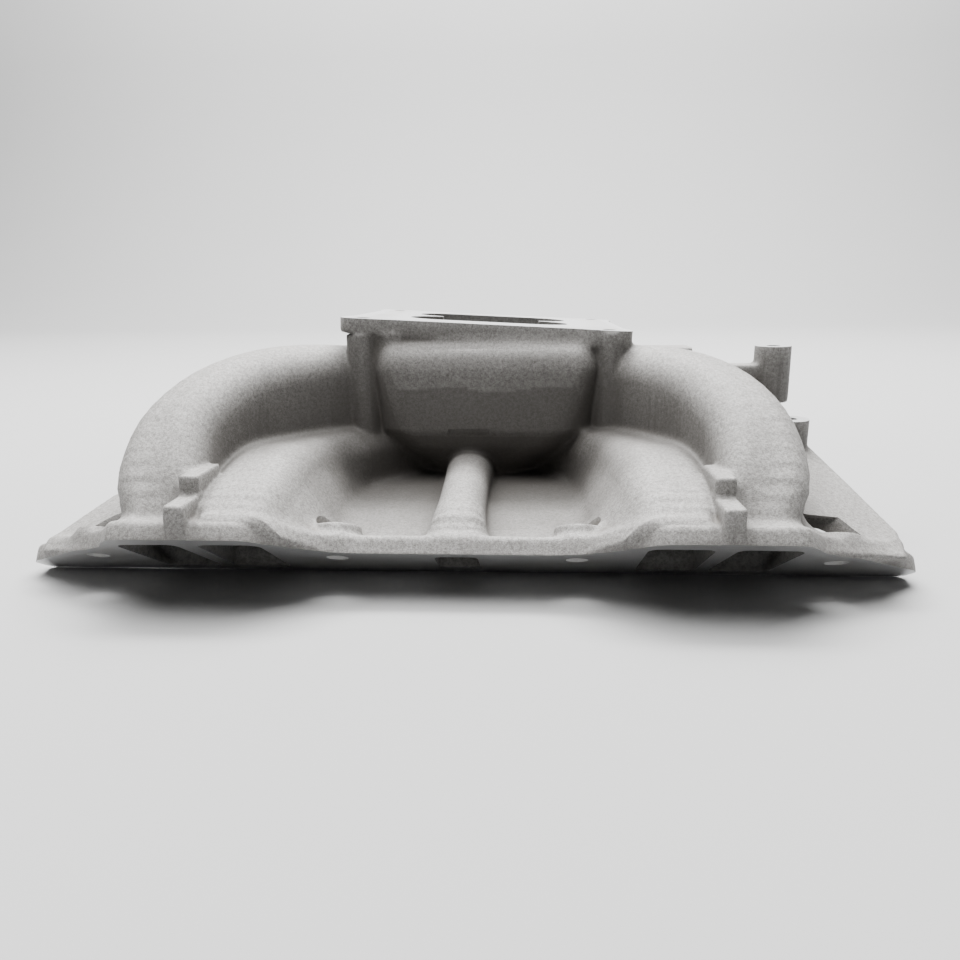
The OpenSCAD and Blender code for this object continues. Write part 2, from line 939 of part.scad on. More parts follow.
module front_end_web() {
    edge = [[140, -190], [140, -60], [189, -60], [204, -80], [218, -146], [206, -190]];
    color(CAST) difference() {
        sloping_plate([for (p = edge) [p[0], p[1], end_web_top(p[0], p[1])]], end_web_t);
        near_flange_space();
        bolt_room();
        duct_core(high_near_front, into_casting, to_rear);
        translate([front_boss[0], front_boss[1], 0])
            cylinder(d = front_boss_d + 2 * trim_gap, h = front_boss_z[1]);
    }
}

module rear_end_web() {
    edge = [[-140, -190], [-206, -190], [-214, -150], [-196, -118], [-140, -118]];
    color(CAST) difference() {
        sloping_plate(
            [for (p = edge) [p[0], p[1], end_web_top(-p[0], p[1]) - rear_web_drop]], end_web_t
        );
        near_flange_space();
        bolt_room();
        duct_core(high_near_rear, into_casting, to_front);
    }
}

module vacuum_boss() {
    color(CAST) difference() {
        translate(vacuum_pos - [vacuum_block[0], vacuum_block[1] / 2, vacuum_block[2] / 2])
            cube(vacuum_block);
        translate(vacuum_pos - [vacuum_bore_len, 0, 0]) rotate([0, 90, 0])
            cylinder(d = plug_d, h = vacuum_bore_len + over);
        far_side() duct_core(high_far_front, into_casting, to_rear);
    }
}

module vacuum_port_plug() {
    socket_depth = 7;
    color(STEEL) difference() {
        translate(vacuum_pos - [plug_len + plug_sink, 0, 0]) rotate([0, 90, 0])
            cylinder(d = plug_d, h = plug_len);
        translate(vacuum_pos - [plug_sink + socket_depth, plug_square / 2, plug_square / 2])
            cube([socket_depth + over, plug_square, plug_square]);
    }
}

near_flange_rear_end();
near_port_frame_7();
near_port_frame_5();
near_flange_rear_middle();
near_crossover_frame();
near_flange_front_middle();
near_port_frame_3();
near_port_frame_1();
near_flange_front_end();
far_flange_rear_end();
far_port_frame_8();
far_port_frame_6();
far_flange_rear_middle();
far_crossover_frame();
far_flange_front_middle();
far_port_frame_4();
far_port_frame_2();
far_flange_front_end();
runner_1_near_outer_front();
runner_3_near_inner_front();
runner_5_near_inner_rear();
runner_7_near_outer_rear();
runner_2_far_outer_front();
runner_4_far_inner_front();
runner_6_far_inner_rear();
runner_8_far_outer_rear();
lower_plenum();
plenum_exhaust_passage();
upper_plenum();
carburettor_riser();
carburettor_pad();
stud_post_near_front();
stud_post_near_rear();
stud_post_far_front();
stud_post_far_rear();
near_heat_crossover();
far_heat_crossover();
near_front_valley_web();
near_rear_valley_web();
far_front_valley_web();
far_rear_valley_web();
near_front_lug();
near_rear_lug();
far_front_lug();
far_rear_lug();
coil_bracket_boss();
coil_bracket_arm();
front_accessory_boss();
front_end_web();
rear_end_web();
vacuum_boss();
vacuum_port_plug();
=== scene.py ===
"""Looks of the intake manifold: a grit-blasted aluminium casting with machined faces.

The whole casting is first shaped as one signed distance field, so that every wall runs into the
next through a cast fillet. It is then machined, with flat faces and drilled holes, and sawn into
closed sections that stand for the sections of the CAD model. Shapes are described in
millimetres and become metres when their mesh is made.
"""
import logging
import math
from dataclasses import dataclass, field
from enum import Enum
from typing import Any, Callable, Sequence

import bmesh
import bpy
import numpy as np
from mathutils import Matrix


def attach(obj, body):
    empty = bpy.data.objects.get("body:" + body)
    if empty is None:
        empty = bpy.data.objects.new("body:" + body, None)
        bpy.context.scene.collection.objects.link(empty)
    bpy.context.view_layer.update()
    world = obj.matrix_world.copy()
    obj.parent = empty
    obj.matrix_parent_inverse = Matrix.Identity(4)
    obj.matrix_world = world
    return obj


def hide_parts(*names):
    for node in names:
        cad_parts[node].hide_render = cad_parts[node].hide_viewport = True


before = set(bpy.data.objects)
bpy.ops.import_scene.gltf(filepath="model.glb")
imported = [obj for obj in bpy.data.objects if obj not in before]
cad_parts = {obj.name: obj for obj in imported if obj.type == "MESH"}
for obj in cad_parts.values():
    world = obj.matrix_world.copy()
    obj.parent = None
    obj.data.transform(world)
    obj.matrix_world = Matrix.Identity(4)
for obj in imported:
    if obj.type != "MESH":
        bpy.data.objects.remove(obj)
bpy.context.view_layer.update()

import openvdb
from mathutils import Matrix, Vector

LOG = logging.getLogger("manifold")
MM = 0.001
FAR = 40.0
BODY = "root"

Array = np.ndarray
Span = tuple[Array, Array, Array]


class Bank(Enum):
    """The two sides of the engine, with the sign of Y on each."""

    NEAR = -1
    FAR = 1


class End(Enum):
    """The two ends of the engine, with the sign of X at each."""

    REAR = -1
    FRONT = 1


class Surface(Enum):
    """Finishes of the metal, in the order of the material slots on each section."""

    CAST = 0
    MACHINED = 1
    INSIDE = 2


# ------------------------------------------------------------------- distance field


def smooth_min(a: Array, b: Array, blend: float) -> Array:
    """Joins two distance fields with a fillet.

    Args:
        a: First distances.
        b: Second distances.
        blend: Width of the fillet.

    Returns:
        The distance to the joined shape.
    """
    if blend <= 0:
        return np.minimum(a, b)
    h = np.maximum(blend - np.abs(a - b), 0) / blend
    return np.minimum(a, b) - h * h * blend * 0.25


def smooth_max(a: Array, b: Array, blend: float) -> Array:
    """Keeps what two distance fields share, with a rounded edge.

    Args:
        a: First distances.
        b: Second distances.
        blend: Width of the rounding.

    Returns:
        The distance to the common shape.
    """
    return -smooth_min(-a, -b, blend)


def rounded_rect(a: Array, b: Array, half_a: Any, half_b: Any, radius: Any) -> Array:
    """Distance to a rectangle with rounded corners, centred on zero.

    Args:
        a: First coordinate.
        b: Second coordinate.
        half_a: Half size along the first coordinate.
        half_b: Half size along the second coordinate.
        radius: Corner radius.

    Returns:
        Signed distances.
    """
    qa = np.abs(a) - half_a + radius
    qb = np.abs(b) - half_b + radius
    outside = np.sqrt(np.maximum(qa, 0) ** 2 + np.maximum(qb, 0) ** 2)
    return outside + np.minimum(np.maximum(qa, qb), 0) - radius


def polygon_distance(a: Array, b: Array, corners: Sequence[tuple[float, float]]) -> Array:
    """Distance to a closed polygon.

    Args:
        a: First coordinate.
        b: Second coordinate.
        corners: Corners in order.

    Returns:
        Signed distances, negative inside.
    """
    nearest = np.full(np.broadcast(a, b).shape, 1e9, dtype=np.float32)
    inside = np.zeros(nearest.shape, dtype=bool)
    for (ax, ay), (bx, by) in zip(corners, [*corners[1:], corners[0]]):
        ex, ey = bx - ax, by - ay
        along = np.clip(((a - ax) * ex + (b - ay) * ey) / (ex * ex + ey * ey), 0, 1)
        dx, dy = a - ax - along * ex, b - ay - along * ey
        nearest = np.minimum(nearest, dx * dx + dy * dy)
        if ey != 0:
            crossing = ((ay > b) != (by > b)) & (a < (b - ay) * ex / ey + ax)
            inside ^= crossing
    distance = np.sqrt(nearest)
    return np.where(inside, -distance, distance).astype(np.float32)


@dataclass
class Grid:
    """Signed distances in millimetres at regular points.

    Attributes:
        low: Lowest corner.
        high: Highest corner.
        step: Spacing of the points.
    """

    low: tuple[float, float, float]
    high: tuple[float, float, float]
    step: float
    axes: list[Array] = field(init=False)
    values: Array = field(init=False)

    def __post_init__(self) -> None:
        """Lays out the points, with nothing in the field yet."""
        self.axes = [
            np.arange(lo, hi + self.step, self.step, dtype=np.float32)
            for lo, hi in zip(self.low, self.high)
        ]
        self.values = np.full([len(axis) for axis in self.axes], FAR, dtype=np.float32)

    def window(self, low: Sequence[float], high: Sequence[float]) -> tuple[tuple[slice, ...], Span]:
        """Finds the part of the grid that a box covers.

        Args:
            low: Lowest corner of the box.
            high: Highest corner of the box.

        Returns:
            The slices of the grid, and the coordinates there, ready to broadcast.
        """
        slices = []
        for axis, lo, hi in zip(self.axes, low, high):
            first, last = np.searchsorted(axis, (lo, hi))
            slices.append(slice(int(first), int(max(last, first + 1))))
        x, y, z = (axis[s] for axis, s in zip(self.axes, slices))
        return tuple(slices), (x[:, None, None], y[None, :, None], z[None, None, :])

    def unite(self, part: Array, where: tuple[slice, ...], blend: float) -> None:
        """Adds distances to one part of the field, with a fillet."""
        self.values[where] = smooth_min(self.values[where], part, blend)

    def carve(self, part: Array, where: tuple[slice, ...], blend: float) -> None:
        """Removes a shape from one part of the field, with a rounded edge."""
        self.values[where] = smooth_max(self.values[where], -part, blend)

    def blurred(self, radius: float) -> "Grid":
        """Averages the field over a cube.

        Args:
            radius: Half the cube's side.

        Returns:
            A grid of the same points, holding the averages.
        """
        reach = max(1, round(radius / self.step))
        result = Grid.__new__(Grid)
        result.low, result.high, result.step, result.axes = self.low, self.high, self.step, self.axes
        values = np.clip(self.values, -3 * radius, 3 * radius)
        for axis in range(3):
            pad = [(0, 0)] * 3
            pad[axis] = (reach + 1, reach)
            total = np.cumsum(np.pad(values, pad, mode="edge"), axis=axis, dtype=np.float64)
            size = values.shape[axis]
            upper = np.take(total, range(2 * reach + 1, 2 * reach + 1 + size), axis=axis)
            lower = np.take(total, range(0, size), axis=axis)
            values = ((upper - lower) / (2 * reach + 1)).astype(np.float32)
        result.values = values
        return result

    def sample(self, points: Array) -> Array:
        """Reads the field between its points.

        Args:
            points: One row of coordinates for each place.

        Returns:
            The value at each place.
        """
        cell = (points - np.array([axis[0] for axis in self.axes])) / self.step
        top = np.array(self.values.shape) - 2
        base = np.clip(np.floor(cell).astype(int), 0, top)
        part = np.clip(cell - base, 0, 1)
        total = np.zeros(len(points))
        for corner in np.ndindex(2, 2, 2):
            weight = np.prod(np.where(np.array(corner) == 1, part, 1 - part), axis=1)
            i, j, k = (base + corner).T
            total += weight * self.values[i, j, k]
        return total

    def surface(self, name: str) -> bpy.types.Object:
        """Makes a closed mesh, in metres, of the field's zero level.

        Args:
            name: Name of the new object.

        Returns:
            The object, not linked to any collection.
        """
        volume = openvdb.FloatGrid(FAR)
        volume.copyFromArray(np.clip(self.values, -FAR, FAR))
        points, triangles, quads = volume.convertToPolygons(isovalue=0.0, adaptivity=0.0)
        corner = np.array([axis[0] for axis in self.axes])
        places = (points * self.step + corner) * MM
        mesh = bpy.data.meshes.new(name)
        split = np.concatenate([quads[:, [0, 1, 2]], quads[:, [0, 2, 3]], triangles]).astype(np.int32)
        mesh.vertices.add(len(places))
        mesh.vertices.foreach_set("co", places.astype(np.float32).ravel())
        mesh.loops.add(split.size)
        mesh.loops.foreach_set("vertex_index", split.ravel())
        mesh.polygons.add(len(split))
        mesh.polygons.foreach_set("loop_start", np.arange(0, split.size, 3, dtype=np.int32))
        mesh.update(calc_edges=True)
        return bpy.data.objects.new(name, mesh)


# --------------------------------------------------------------- sizes of the casting


@dataclass(frozen=True)
class PortFace:
    """The sloping face that seals on one cylinder head.

    Attributes:
        slope: Slope above the horizontal, in degrees.
        edge_y: Distance of the lower edge from the centre plane.
        thickness: Thickness of the flange.
        stock: Metal left on the face before machining.
        bolt_s: Distance of the bolt holes up the slope.
    """

    slope: float = 30.6
    edge_y: float = 138.2
    thickness: float = 9.5
    stock: float = 3.0
    bolt_s: float = 37.0

    def local(self, bank: Bank, y: Array, z: Array) -> tuple[Array, Array]:
        """Turns Y and Z into the distance up the face and the height above it."""
        out = bank.value * y - self.edge_y
        rise, run = math.sin(math.radians(self.slope)), math.cos(math.radians(self.slope))
        return out * run + z * rise, z * run - out * rise

    def place(self, bank: Bank, x: float, s: float, t: float) -> Array:
        """Gives the point at x, s up the face and t above it."""
        rise, run = math.sin(math.radians(self.slope)), math.cos(math.radians(self.slope))
        return np.array([x, bank.value * (self.edge_y + s * run - t * rise), s * rise + t * run])

    def normal(self, bank: Bank) -> Array:
        """Gives the direction from the face into the casting."""
        rise, run = math.sin(math.radians(self.slope)), math.cos(math.radians(self.slope))
        return np.array([0.0, -bank.value * rise, run])


@dataclass(frozen=True)
class PadFrame:
    """The tilted frame of the carburettor pad.

    Attributes:
        centre: Centre of the machined top.
        tilt: Forward tilt in degrees.
    """

    centre: tuple[float, float, float] = (9.6, 0.0, 125.2)
    tilt: float = 3.2

    def local(self, x: Array, y: Array, z: Array) -> Span:
        """Turns coordinates of the part into coordinates of the pad."""
        c, s = math.cos(math.radians(self.tilt)), math.sin(math.radians(self.tilt))
        dx, dz = x - self.centre[0], z - self.centre[2]
        return dx * c - dz * s, y - self.centre[1], dx * s + dz * c

    def place(self, a: float, b: float, c: float) -> Array:
        """Gives the point at a and b on the pad and c above it."""
        cs, sn = math.cos(math.radians(self.tilt)), math.sin(math.radians(self.tilt))
        x, y, z = self.centre
        return np.array([x + a * cs + c * sn, y + b, z - a * sn + c * cs])

    def normal(self) -> Array:
        """Gives the outward direction of the machined top."""
        return np.array([math.sin(math.radians(self.tilt)), 0, math.cos(math.radians(self.tilt))])


FACE = PortFace()
PAD = PadFrame()
PORT_WIDTH = 29.6
PORT_HEIGHT = 55.0
PORT_S = 36.9
PORT_INNER_X = 103.1
PORT_OUTER_X = 140.8
CROSSOVER_S = 27.1
WALL = 4.5
BOLT_INNER_X = 58.1
BOLT_OUTER_X = 178.8
BOLT_RADIUS = 5.25
STUD_A = 71.45
STUD_B = 65.5
STUD_RADIUS = 3.95
WEB_Z = 34.0
WEB_FALL = 0.107
WEB_ROOT_Y = 72.0
LUG_X = (PORT_INNER_X + PORT_OUTER_X) / 2
COIL_BOSS = (184.0, -34.0, 109.0)
FRONT_BOSS = (185.0, -70.0, 70.0)
VACUUM_FACE = (152.0, 58.0, 91.0)
STOCK = 1.5
POST_X = {-1: -62.4, 1: 81.6}


@dataclass(frozen=True)
class Station:
    """One section of a duct.

    Attributes:
        at: Centre of the section, described on the near bank.
        width: Outer width, level.
        height: Outer height, across the width and the route.
        corner: Radius of the outer corners.
    """

    at: tuple[float, float, float]
    width: float
    height: float
    corner: float


@dataclass
class Duct:
    """A hollow passage of changing section along a smooth route.

    Attributes:
        name: Name used in the log.
        bank: Side of the engine.
        stations: Sections in order from the port to the plenum.
        wall: Wall thickness.
        fillet: Fillet where the duct runs into other walls.
        steps: Straight stretches that the route is cut into.
        curtain_z: Level down to which the duct's sides run straight, or None.
    """

    name: str
    bank: Bank
    stations: list[Station]
    wall: float = WALL
    fillet: float = 6.0
    steps: int = 26
    curtain_z: float | None = None

    def _rows(self) -> Array:
        """Gives centre, width, height and corner radius along the smooth route."""
        keys = np.array([[*s.at, s.width, s.height, s.corner] for s in self.stations])
        keys[:, 1] *= -self.bank.value
        count = len(keys) - 1
        padded = np.vstack([2 * keys[0] - keys[1], keys, 2 * keys[-1] - keys[-2]])
        rows = []
        for t in np.linspace(0, count, self.steps + 1):
            i = min(int(t), count - 1)
            f = t - i
            a, b, c, d = padded[i:i + 4]
            rows.append(0.5 * (
                2 * b + (c - a) * f + (2 * a - 5 * b + 4 * c - d) * f * f
                + (3 * b - a - 3 * c + d) * f ** 3
            ))
        return np.array(rows)

    def cast(self, skin: Grid, hollow: Grid) -> None:
        """Adds the duct's outside to the skin and its inside to the hollow."""
        rows = self._rows()
        centre = rows[:, :3]
        reach = rows[:, 3:5].max() / 2 + self.fillet + 4
        where, (x, y, z) = skin.window(centre.min(axis=0) - reach, centre.max(axis=0) + reach)
        shape = np.broadcast(x, y, z).shape
        best = np.full(shape, 1e9, dtype=np.float32)
        place = np.zeros(shape, dtype=np.float32)
        for i, (start, end) in enumerate(zip(centre[:-1], centre[1:])):
            run = end - start
            px, py, pz = x - start[0], y - start[1], z - start[2]
            h = np.clip((px * run[0] + py * run[1] + pz * run[2]) / (run @ run), 0, 1)
            gap = (px - h * run[0]) ** 2 + (py - h * run[1]) ** 2 + (pz - h * run[2]) ** 2
            closer = gap < best
            best = np.where(closer, gap, best)
            place = np.where(closer, i + h, place)
        tangent = np.gradient(centre, axis=0)
        tangent /= np.linalg.norm(tangent, axis=1, keepdims=True)
        side = np.cross(tangent, [0, 0, 1])
        side /= np.linalg.norm(side, axis=1, keepdims=True)
        rise = np.cross(side, tangent)
        knots = np.arange(len(rows))
        flat = place.ravel()

        def along(table: Array) -> Array:
            """Reads one column of the route at every point of the grid."""
            return np.interp(flat, knots, table).astype(np.float32).reshape(shape)

        offset = [c - along(centre[:, k]) for k, c in enumerate((x, y, z))]
        across = sum(o * along(side[:, k]) for k, o in enumerate(offset))
        up = sum(o * along(rise[:, k]) for k, o in enumerate(offset))
        first = sum((c - centre[0, k]) * -tangent[0, k] for k, c in enumerate((x, y, z)))
        last = sum((c - centre[-1, k]) * tangent[-1, k] for k, c in enumerate((x, y, z)))
        beyond = np.where(place < 1.5, first, np.where(place > self.steps - 1.5, last, -FAR))
        half_w, half_h, corner = along(rows[:, 3] / 2), along(rows[:, 4] / 2), along(rows[:, 5])
        outer = np.maximum(rounded_rect(across, up, half_w, half_h, corner), beyond)
        if self.curtain_z is not None:
            curtain = np.maximum(np.abs(across) - half_w, np.maximum(up, self.curtain_z - z))
            outer = np.minimum(outer, np.maximum(curtain, beyond))
        inner = np.maximum(
            rounded_rect(across, up, half_w - self.wall, half_h - self.wall,
                         np.maximum(corner - self.wall, 3)), beyond)
        skin.unite(outer, where, self.fillet)
        hollow.unite(inner, where, 2.0)
        LOG.info("%s: %d stations", self.name, len(self.stations))


@dataclass(frozen=True)
class HopperLevel:
    """Plan of the plenum at one height.

    Attributes:
        z: Height.
        rear: Rear end.
        front: Front end.
        half_y: Half width.
        corner: Corner radius in plan.
    """

    z: float
    rear: float
    front: float
    half_y: float
    corner: float


@dataclass
class Plenum:
    """The round-bottomed box that the runners meet in, with an upper and a lower chamber.

    Attributes:
        levels: Plans from the bottom up.
        deck_z: Level of the floor between the chambers.
        floor_z: Underside of the lower chamber's floor.
        roof_z: Top of the upper chamber.
        slot_len: Length of a barrel slot.
        slot_wid: Width of a barrel slot.
        slot_y: Distance of a slot from the centre plane.
        notch_len: Length of the notch in the divider between the slots.
        notch_depth: Depth of that notch below the pad's top.
    """

    levels: tuple[HopperLevel, ...] = (
        HopperLevel(24, -32, 50, 60, 40),
        HopperLevel(35, -41, 49, 65, 43),
        HopperLevel(44, -46, 56, 70, 40),
        HopperLevel(54, -52, 66, 77, 32),
        HopperLevel(64, -55, 74, 81, 22),
        HopperLevel(100, -56, 76, 83, 15),
        HopperLevel(128, -56, 76, 83, 15),
    )
    deck_z: float = 68.0
    floor_z: float = 25.0
    roof_z: float = 117.0
    slot_len: float = 99.0
    slot_wid: float = 43.0
    slot_y: float = 23.8
    notch_len: float = 63.0
    notch_depth: float = 7.0

    def _plan(self, x: Array, y: Array, z: Array, shrink: float) -> Array:
        """Gives the distance to the walls, ignoring floor and roof."""
        zs = [level.z for level in self.levels]
        row = z.ravel()
        rear, front, half_y, corner = (
            np.interp(row, zs, [getattr(level, name) for level in self.levels])
            .astype(np.float32).reshape(z.shape)
            for name in ("rear", "front", "half_y", "corner")
        )
        middle, half_x = (front + rear) / 2, (front - rear) / 2
        radius = np.minimum(corner, half_y - shrink - 1)
        return rounded_rect(x - middle, y, half_x - shrink, half_y - shrink,
                            np.maximum(radius - shrink, 3))

    def _slot(self, a: Array, b: Array, bank: Bank, grow: float) -> Array:
        """Gives the distance to one oblong barrel passage, in the pad's frame."""
        half = self.slot_wid / 2 + grow
        return rounded_rect(a, b - bank.value * self.slot_y, self.slot_len / 2 + grow, half, half)

    def cast(self, skin: Grid, hollow: Grid) -> None:
        """Adds the plenum's walls, chambers and barrel passages."""
        where, (x, y, z) = skin.window((-84, -104, 12), (104, 104, 134))
        a, b, c = PAD.local(x, y, z)
        walls = self._plan(x, y, z, 0)
        shoulder = smooth_max(walls, z - self.roof_z, 20.0)
        body = smooth_max(shoulder, self.floor_z - z, 8.0)
        skin.unite(body, where, 6.0)
        riser = rounded_rect(a, b, 70.5, 70.5, 10.0)
        riser = np.maximum(np.maximum(riser, c + 1.0), 96.0 - z)
        skin.unite(riser, where, 5.0)

        chamber = self._plan(x, y, z, WALL + 0.5)
        far_tower = self._slot(a, b, Bank.FAR, WALL)
        upper = smooth_max(chamber, np.maximum(self.deck_z + 4 - z, z - self.roof_z + 12), 6.0)
        upper = smooth_max(upper, -far_tower, 4.0)
        hollow.unite(upper, where, 3.0)
        ridge = rounded_rect(x, z - 34.0, 15.0, 16.0, 8.0)
        lower = smooth_max(chamber, np.maximum(self.floor_z + 5 - z, z - self.deck_z + 2), 6.0)
        lower = smooth_max(lower, -ridge + 0 * y, 4.0)
        hollow.unite(lower, where, 3.0)
        for bank, bottom in ((Bank.NEAR, 84.0), (Bank.FAR, 50.0)):
            barrel = np.maximum(self._slot(a, b, bank, 0.0), bottom - z)
            hollow.unite(barrel, where, 2.0)
        notch = np.maximum(np.abs(a) - self.notch_len / 2, np.abs(b) - self.slot_y + 2)
        hollow.unite(np.maximum(notch, -self.notch_depth - c), where, 0.0)


@dataclass
class Flange:
    """The plate that bolts to one cylinder head, with its bolt bosses.

    Attributes:
        bank: Side of the engine.
        half_outline: Outline from mid length to one end, as (x, distance up the slope).
        boss_r: Radius of the bolt bosses.
        inner_boss: Height of the inner bosses above the plate.
        outer_boss: Height of the outer bosses above the plate.
        nub_gap: Distance of a nub beyond its inner boss.
        nub_r: Radius of a nub.
    """

    bank: Bank
    half_outline: tuple[tuple[float, float], ...] = (
        (0, 48.5), (45, 48.5), (54, 50), (62, 52.5), (70, 57), (78, 63), (84, 68), (91, 74.5), (96, 76),
        (148, 76), (155, 74.5), (159, 69), (166, 59), (176, 51.5), (190, 43), (210, 27), (222, 19.5),
        (226, 14), (226, 3), (223, 0), (0, 0),
    )
    boss_r: float = 11.0
    inner_boss: float = 6.0
    outer_boss: float = 3.4
    nub_gap: float = 15.5
    nub_r: float = 5.0

    def cast(self, skin: Grid) -> None:
        """Adds the plate, the bosses and the small nubs beside them."""
        low_y, high_y = sorted((self.bank.value * 118, self.bank.value * 214))
        where, (x, y, z) = skin.window((-232, low_y, -8), (232, high_y, 66))
        s, t = FACE.local(self.bank, y, z)
        plate = polygon_distance(np.abs(x), s, self.half_outline)
        plate = smooth_max(plate, np.maximum(t - FACE.thickness, -FACE.stock - t), 3.5)
        skin.unite(plate, where, 4.0)
        for side in (-1, 1):
            for bolt_x, height in ((BOLT_INNER_X, self.inner_boss), (BOLT_OUTER_X, self.outer_boss)):
                reach = np.sqrt((x - side * bolt_x) ** 2 + (s - FACE.bolt_s) ** 2) - self.boss_r
                ends = np.maximum(t - FACE.thickness - height - 0.4, -FACE.stock - t)
                boss = smooth_max(reach, ends, 2.0)
                skin.unite(boss, where, 4.0)
            nub_x = side * (BOLT_INNER_X + self.nub_gap)
            nub = np.sqrt((x - nub_x) ** 2 + (s - FACE.bolt_s - 3) ** 2 + (t - 9) ** 2) - self.nub_r
            skin.unite(nub, where, 3.0)


@dataclass
class Block:
    """A plain block with rounded edges, standing square or turned about Z.

    Attributes:
        low: Lowest corner.
        high: Highest corner.
        radius: Radius of its edges.
        fillet: Fillet where it meets other walls.
    """

    low: tuple[float, float, float]
    high: tuple[float, float, float]
    radius: float = 1.5
    fillet: float = 4.0

    def cast(self, skin: Grid) -> None:
        """Adds the block to the skin."""
        pad = self.fillet + 6
        low, high = np.array(self.low), np.array(self.high)
        where, (x, y, z) = skin.window(low - pad, high + pad)
        middle, half = (low + high) / 2, (high - low) / 2 - self.radius
        q = [np.abs(c - m) - h for c, m, h in zip((x, y, z), middle, half)]
        outside = np.sqrt(sum(np.maximum(k, 0) ** 2 for k in q))
        inside = np.minimum(np.maximum(np.maximum(q[0], q[1]), q[2]), 0)
        skin.unite(outside + inside - self.radius, where, self.fillet)


@dataclass
class Column:
    """An upright round boss or post.

    Attributes:
        x: Position along the engine.
        y: Position across the engine.
        bottom: Lower end.
        top: Upper end.
        radius: Radius.
        fillet: Fillet where it meets other walls.
        rim: Rounding of its ends.
    """

    x: float
    y: float
    bottom: float
    top: float
    radius: float
    fillet: float = 4.0
    rim: float = 2.0

    def cast(self, skin: Grid) -> None:
        """Adds the column to the skin."""
        pad = self.fillet + 6 + self.radius
        where, (x, y, z) = skin.window(
            (self.x - pad, self.y - pad, self.bottom - 12), (self.x + pad, self.y + pad, self.top + 12))
        wall = np.sqrt((x - self.x) ** 2 + (y - self.y) ** 2) - self.radius
        ends = np.maximum(self.bottom - z, z - self.top)
        skin.unite(smooth_max(wall, ends, self.rim), where, self.fillet)


@dataclass
class Pad:
    """The carburettor pad, before its top is machined.

    Attributes:
        half_len: Half length along the engine.
        half_wid: Half width across the engine.
        waist: How far the edges draw in between the ears.
        ear: Length of an ear.
        thickness: Thickness under the machined top.
    """

    half_len: float = 84.5
    half_wid: float = 75.5
    waist: float = 2.6
    ear: float = 24.0
    thickness: float = 8.5

    def _quarter(self) -> list[tuple[float, float]]:
        """Gives the outline from the front edge round one ear to the side."""
        length, width, radius = self.half_len, self.half_wid, 7.0
        ear = [
            (length - radius + radius * math.cos(a), width - radius + radius * math.sin(a))
            for a in np.radians(np.arange(0, 91, 15))
        ]
        return [
            (0, 0), (length - self.waist, 0), (length - self.waist, width - self.ear - 6),
            (length, width - self.ear + 4), *ear, (length - self.ear + 2, width),
            (length - self.ear - 8, width - self.waist), (0, width - self.waist),
        ]

    def cast(self, skin: Grid) -> None:
        """Adds the pad to the skin, with stock on its top."""
        where, (x, y, z) = skin.window((-92, -92, 96), (112, 92, 136))
        a, b, c = PAD.local(x, y, z)
        plate = polygon_distance(np.abs(a), np.abs(b), self._quarter())
        edge = smooth_max(plate, np.maximum(-self.thickness - c, c - 3.0), 1.5)
        skin.unite(edge, where, 5.0)


@dataclass
class SlopingWeb:
    """A plate that lies in a sloping plane, with a polygon outline in plan.

    Attributes:
        outline: Outline in plan.
        top: A point of the upper face.
        slope_x: Rise of the upper face for each millimetre of X.
        slope_y: Rise of the upper face for each millimetre of Y.
        thickness: Thickness.
        fillet: Fillet where it meets other walls.
    """

    outline: tuple[tuple[float, float], ...]
    top: tuple[float, float, float]
    slope_x: float
    slope_y: float
    thickness: float = 7.0
    fillet: float = 7.0

    def cast(self, skin: Grid) -> None:
        """Adds the web to the skin, kept off the port face."""
        plan = np.array(self.outline)
        low = [*(plan.min(axis=0) - 14), 0]
        high = [*(plan.max(axis=0) + 14), 110]
        where, (x, y, z) = skin.window(low, high)
        level = self.top[2] + self.slope_x * (x - self.top[0]) + self.slope_y * (y - self.top[1])
        steep = math.sqrt(1 + self.slope_x ** 2 + self.slope_y ** 2)
        faces = np.maximum(z - level, level - self.thickness - z) / steep
        edge = polygon_distance(x, y, self.outline)
        web = smooth_max(edge + 0 * z, faces, 3.0)
        for bank in Bank:
            _, t = FACE.local(bank, y, z)
            web = np.maximum(web, 2.0 - t)
        skin.unite(web, where, self.fillet)


@dataclass
class RunnerSkirt:
    """The sloping metal that fills the corner between a near inner runner and the valley web.

    Attributes:
        end: End of the engine.
        ys: Places across the engine where the other sizes are given.
        foot: Distance of the skirt's foot from mid length.
        brow: Distance of its upper edge from mid length.
        crest: Height of its upper edge.
    """

    end: End
    ys: tuple[float, ...] = (-190, -165, -120, -95, -80, -66)
    foot: tuple[float, ...] = (59, 60, 60.5, 61, 62, 62)
    brow: tuple[float, ...] = (86, 84, 82, 76, 66, 62)
    crest: tuple[float, ...] = (46, 52, 60, 62, 62, 60)

    def _at(self, sizes: Sequence[float], y: Array) -> Array:
        """Reads one of the sizes at every Y."""
        return np.interp(y.ravel(), self.ys, sizes).astype(np.float32).reshape(y.shape)

    def cast(self, skin: Grid) -> None:
        """Adds the skirt to the skin."""
        sign = self.end.value
        low_x, high_x = sorted((sign * 44, sign * 124))
        where, (x, y, z) = skin.window((low_x, -196, 16), (high_x, -50, 78))
        side = sign * x
        foot, brow, crest = (self._at(sizes, y) for sizes in (self.foot, self.brow, self.crest))
        base = WEB_Z - 1.0 + WEB_FALL * (y + WEB_ROOT_Y)
        dx, dz = brow - foot, crest - base
        length = np.sqrt(dx * dx + dz * dz)
        slope = ((z - base) * dx - (side - foot) * dz) / length
        body = smooth_max(slope, z - crest - 1.0, 6.0)
        body = np.maximum(body, np.maximum(20.0 - z, side - 112.0))
        _, t = FACE.local(Bank.NEAR, y, z)
        body = np.maximum(body, np.maximum(3.0 - t, y + 62.0))
        skin.unite(body, where, 6.0)


# ------------------------------------------------------------- machining and sawing


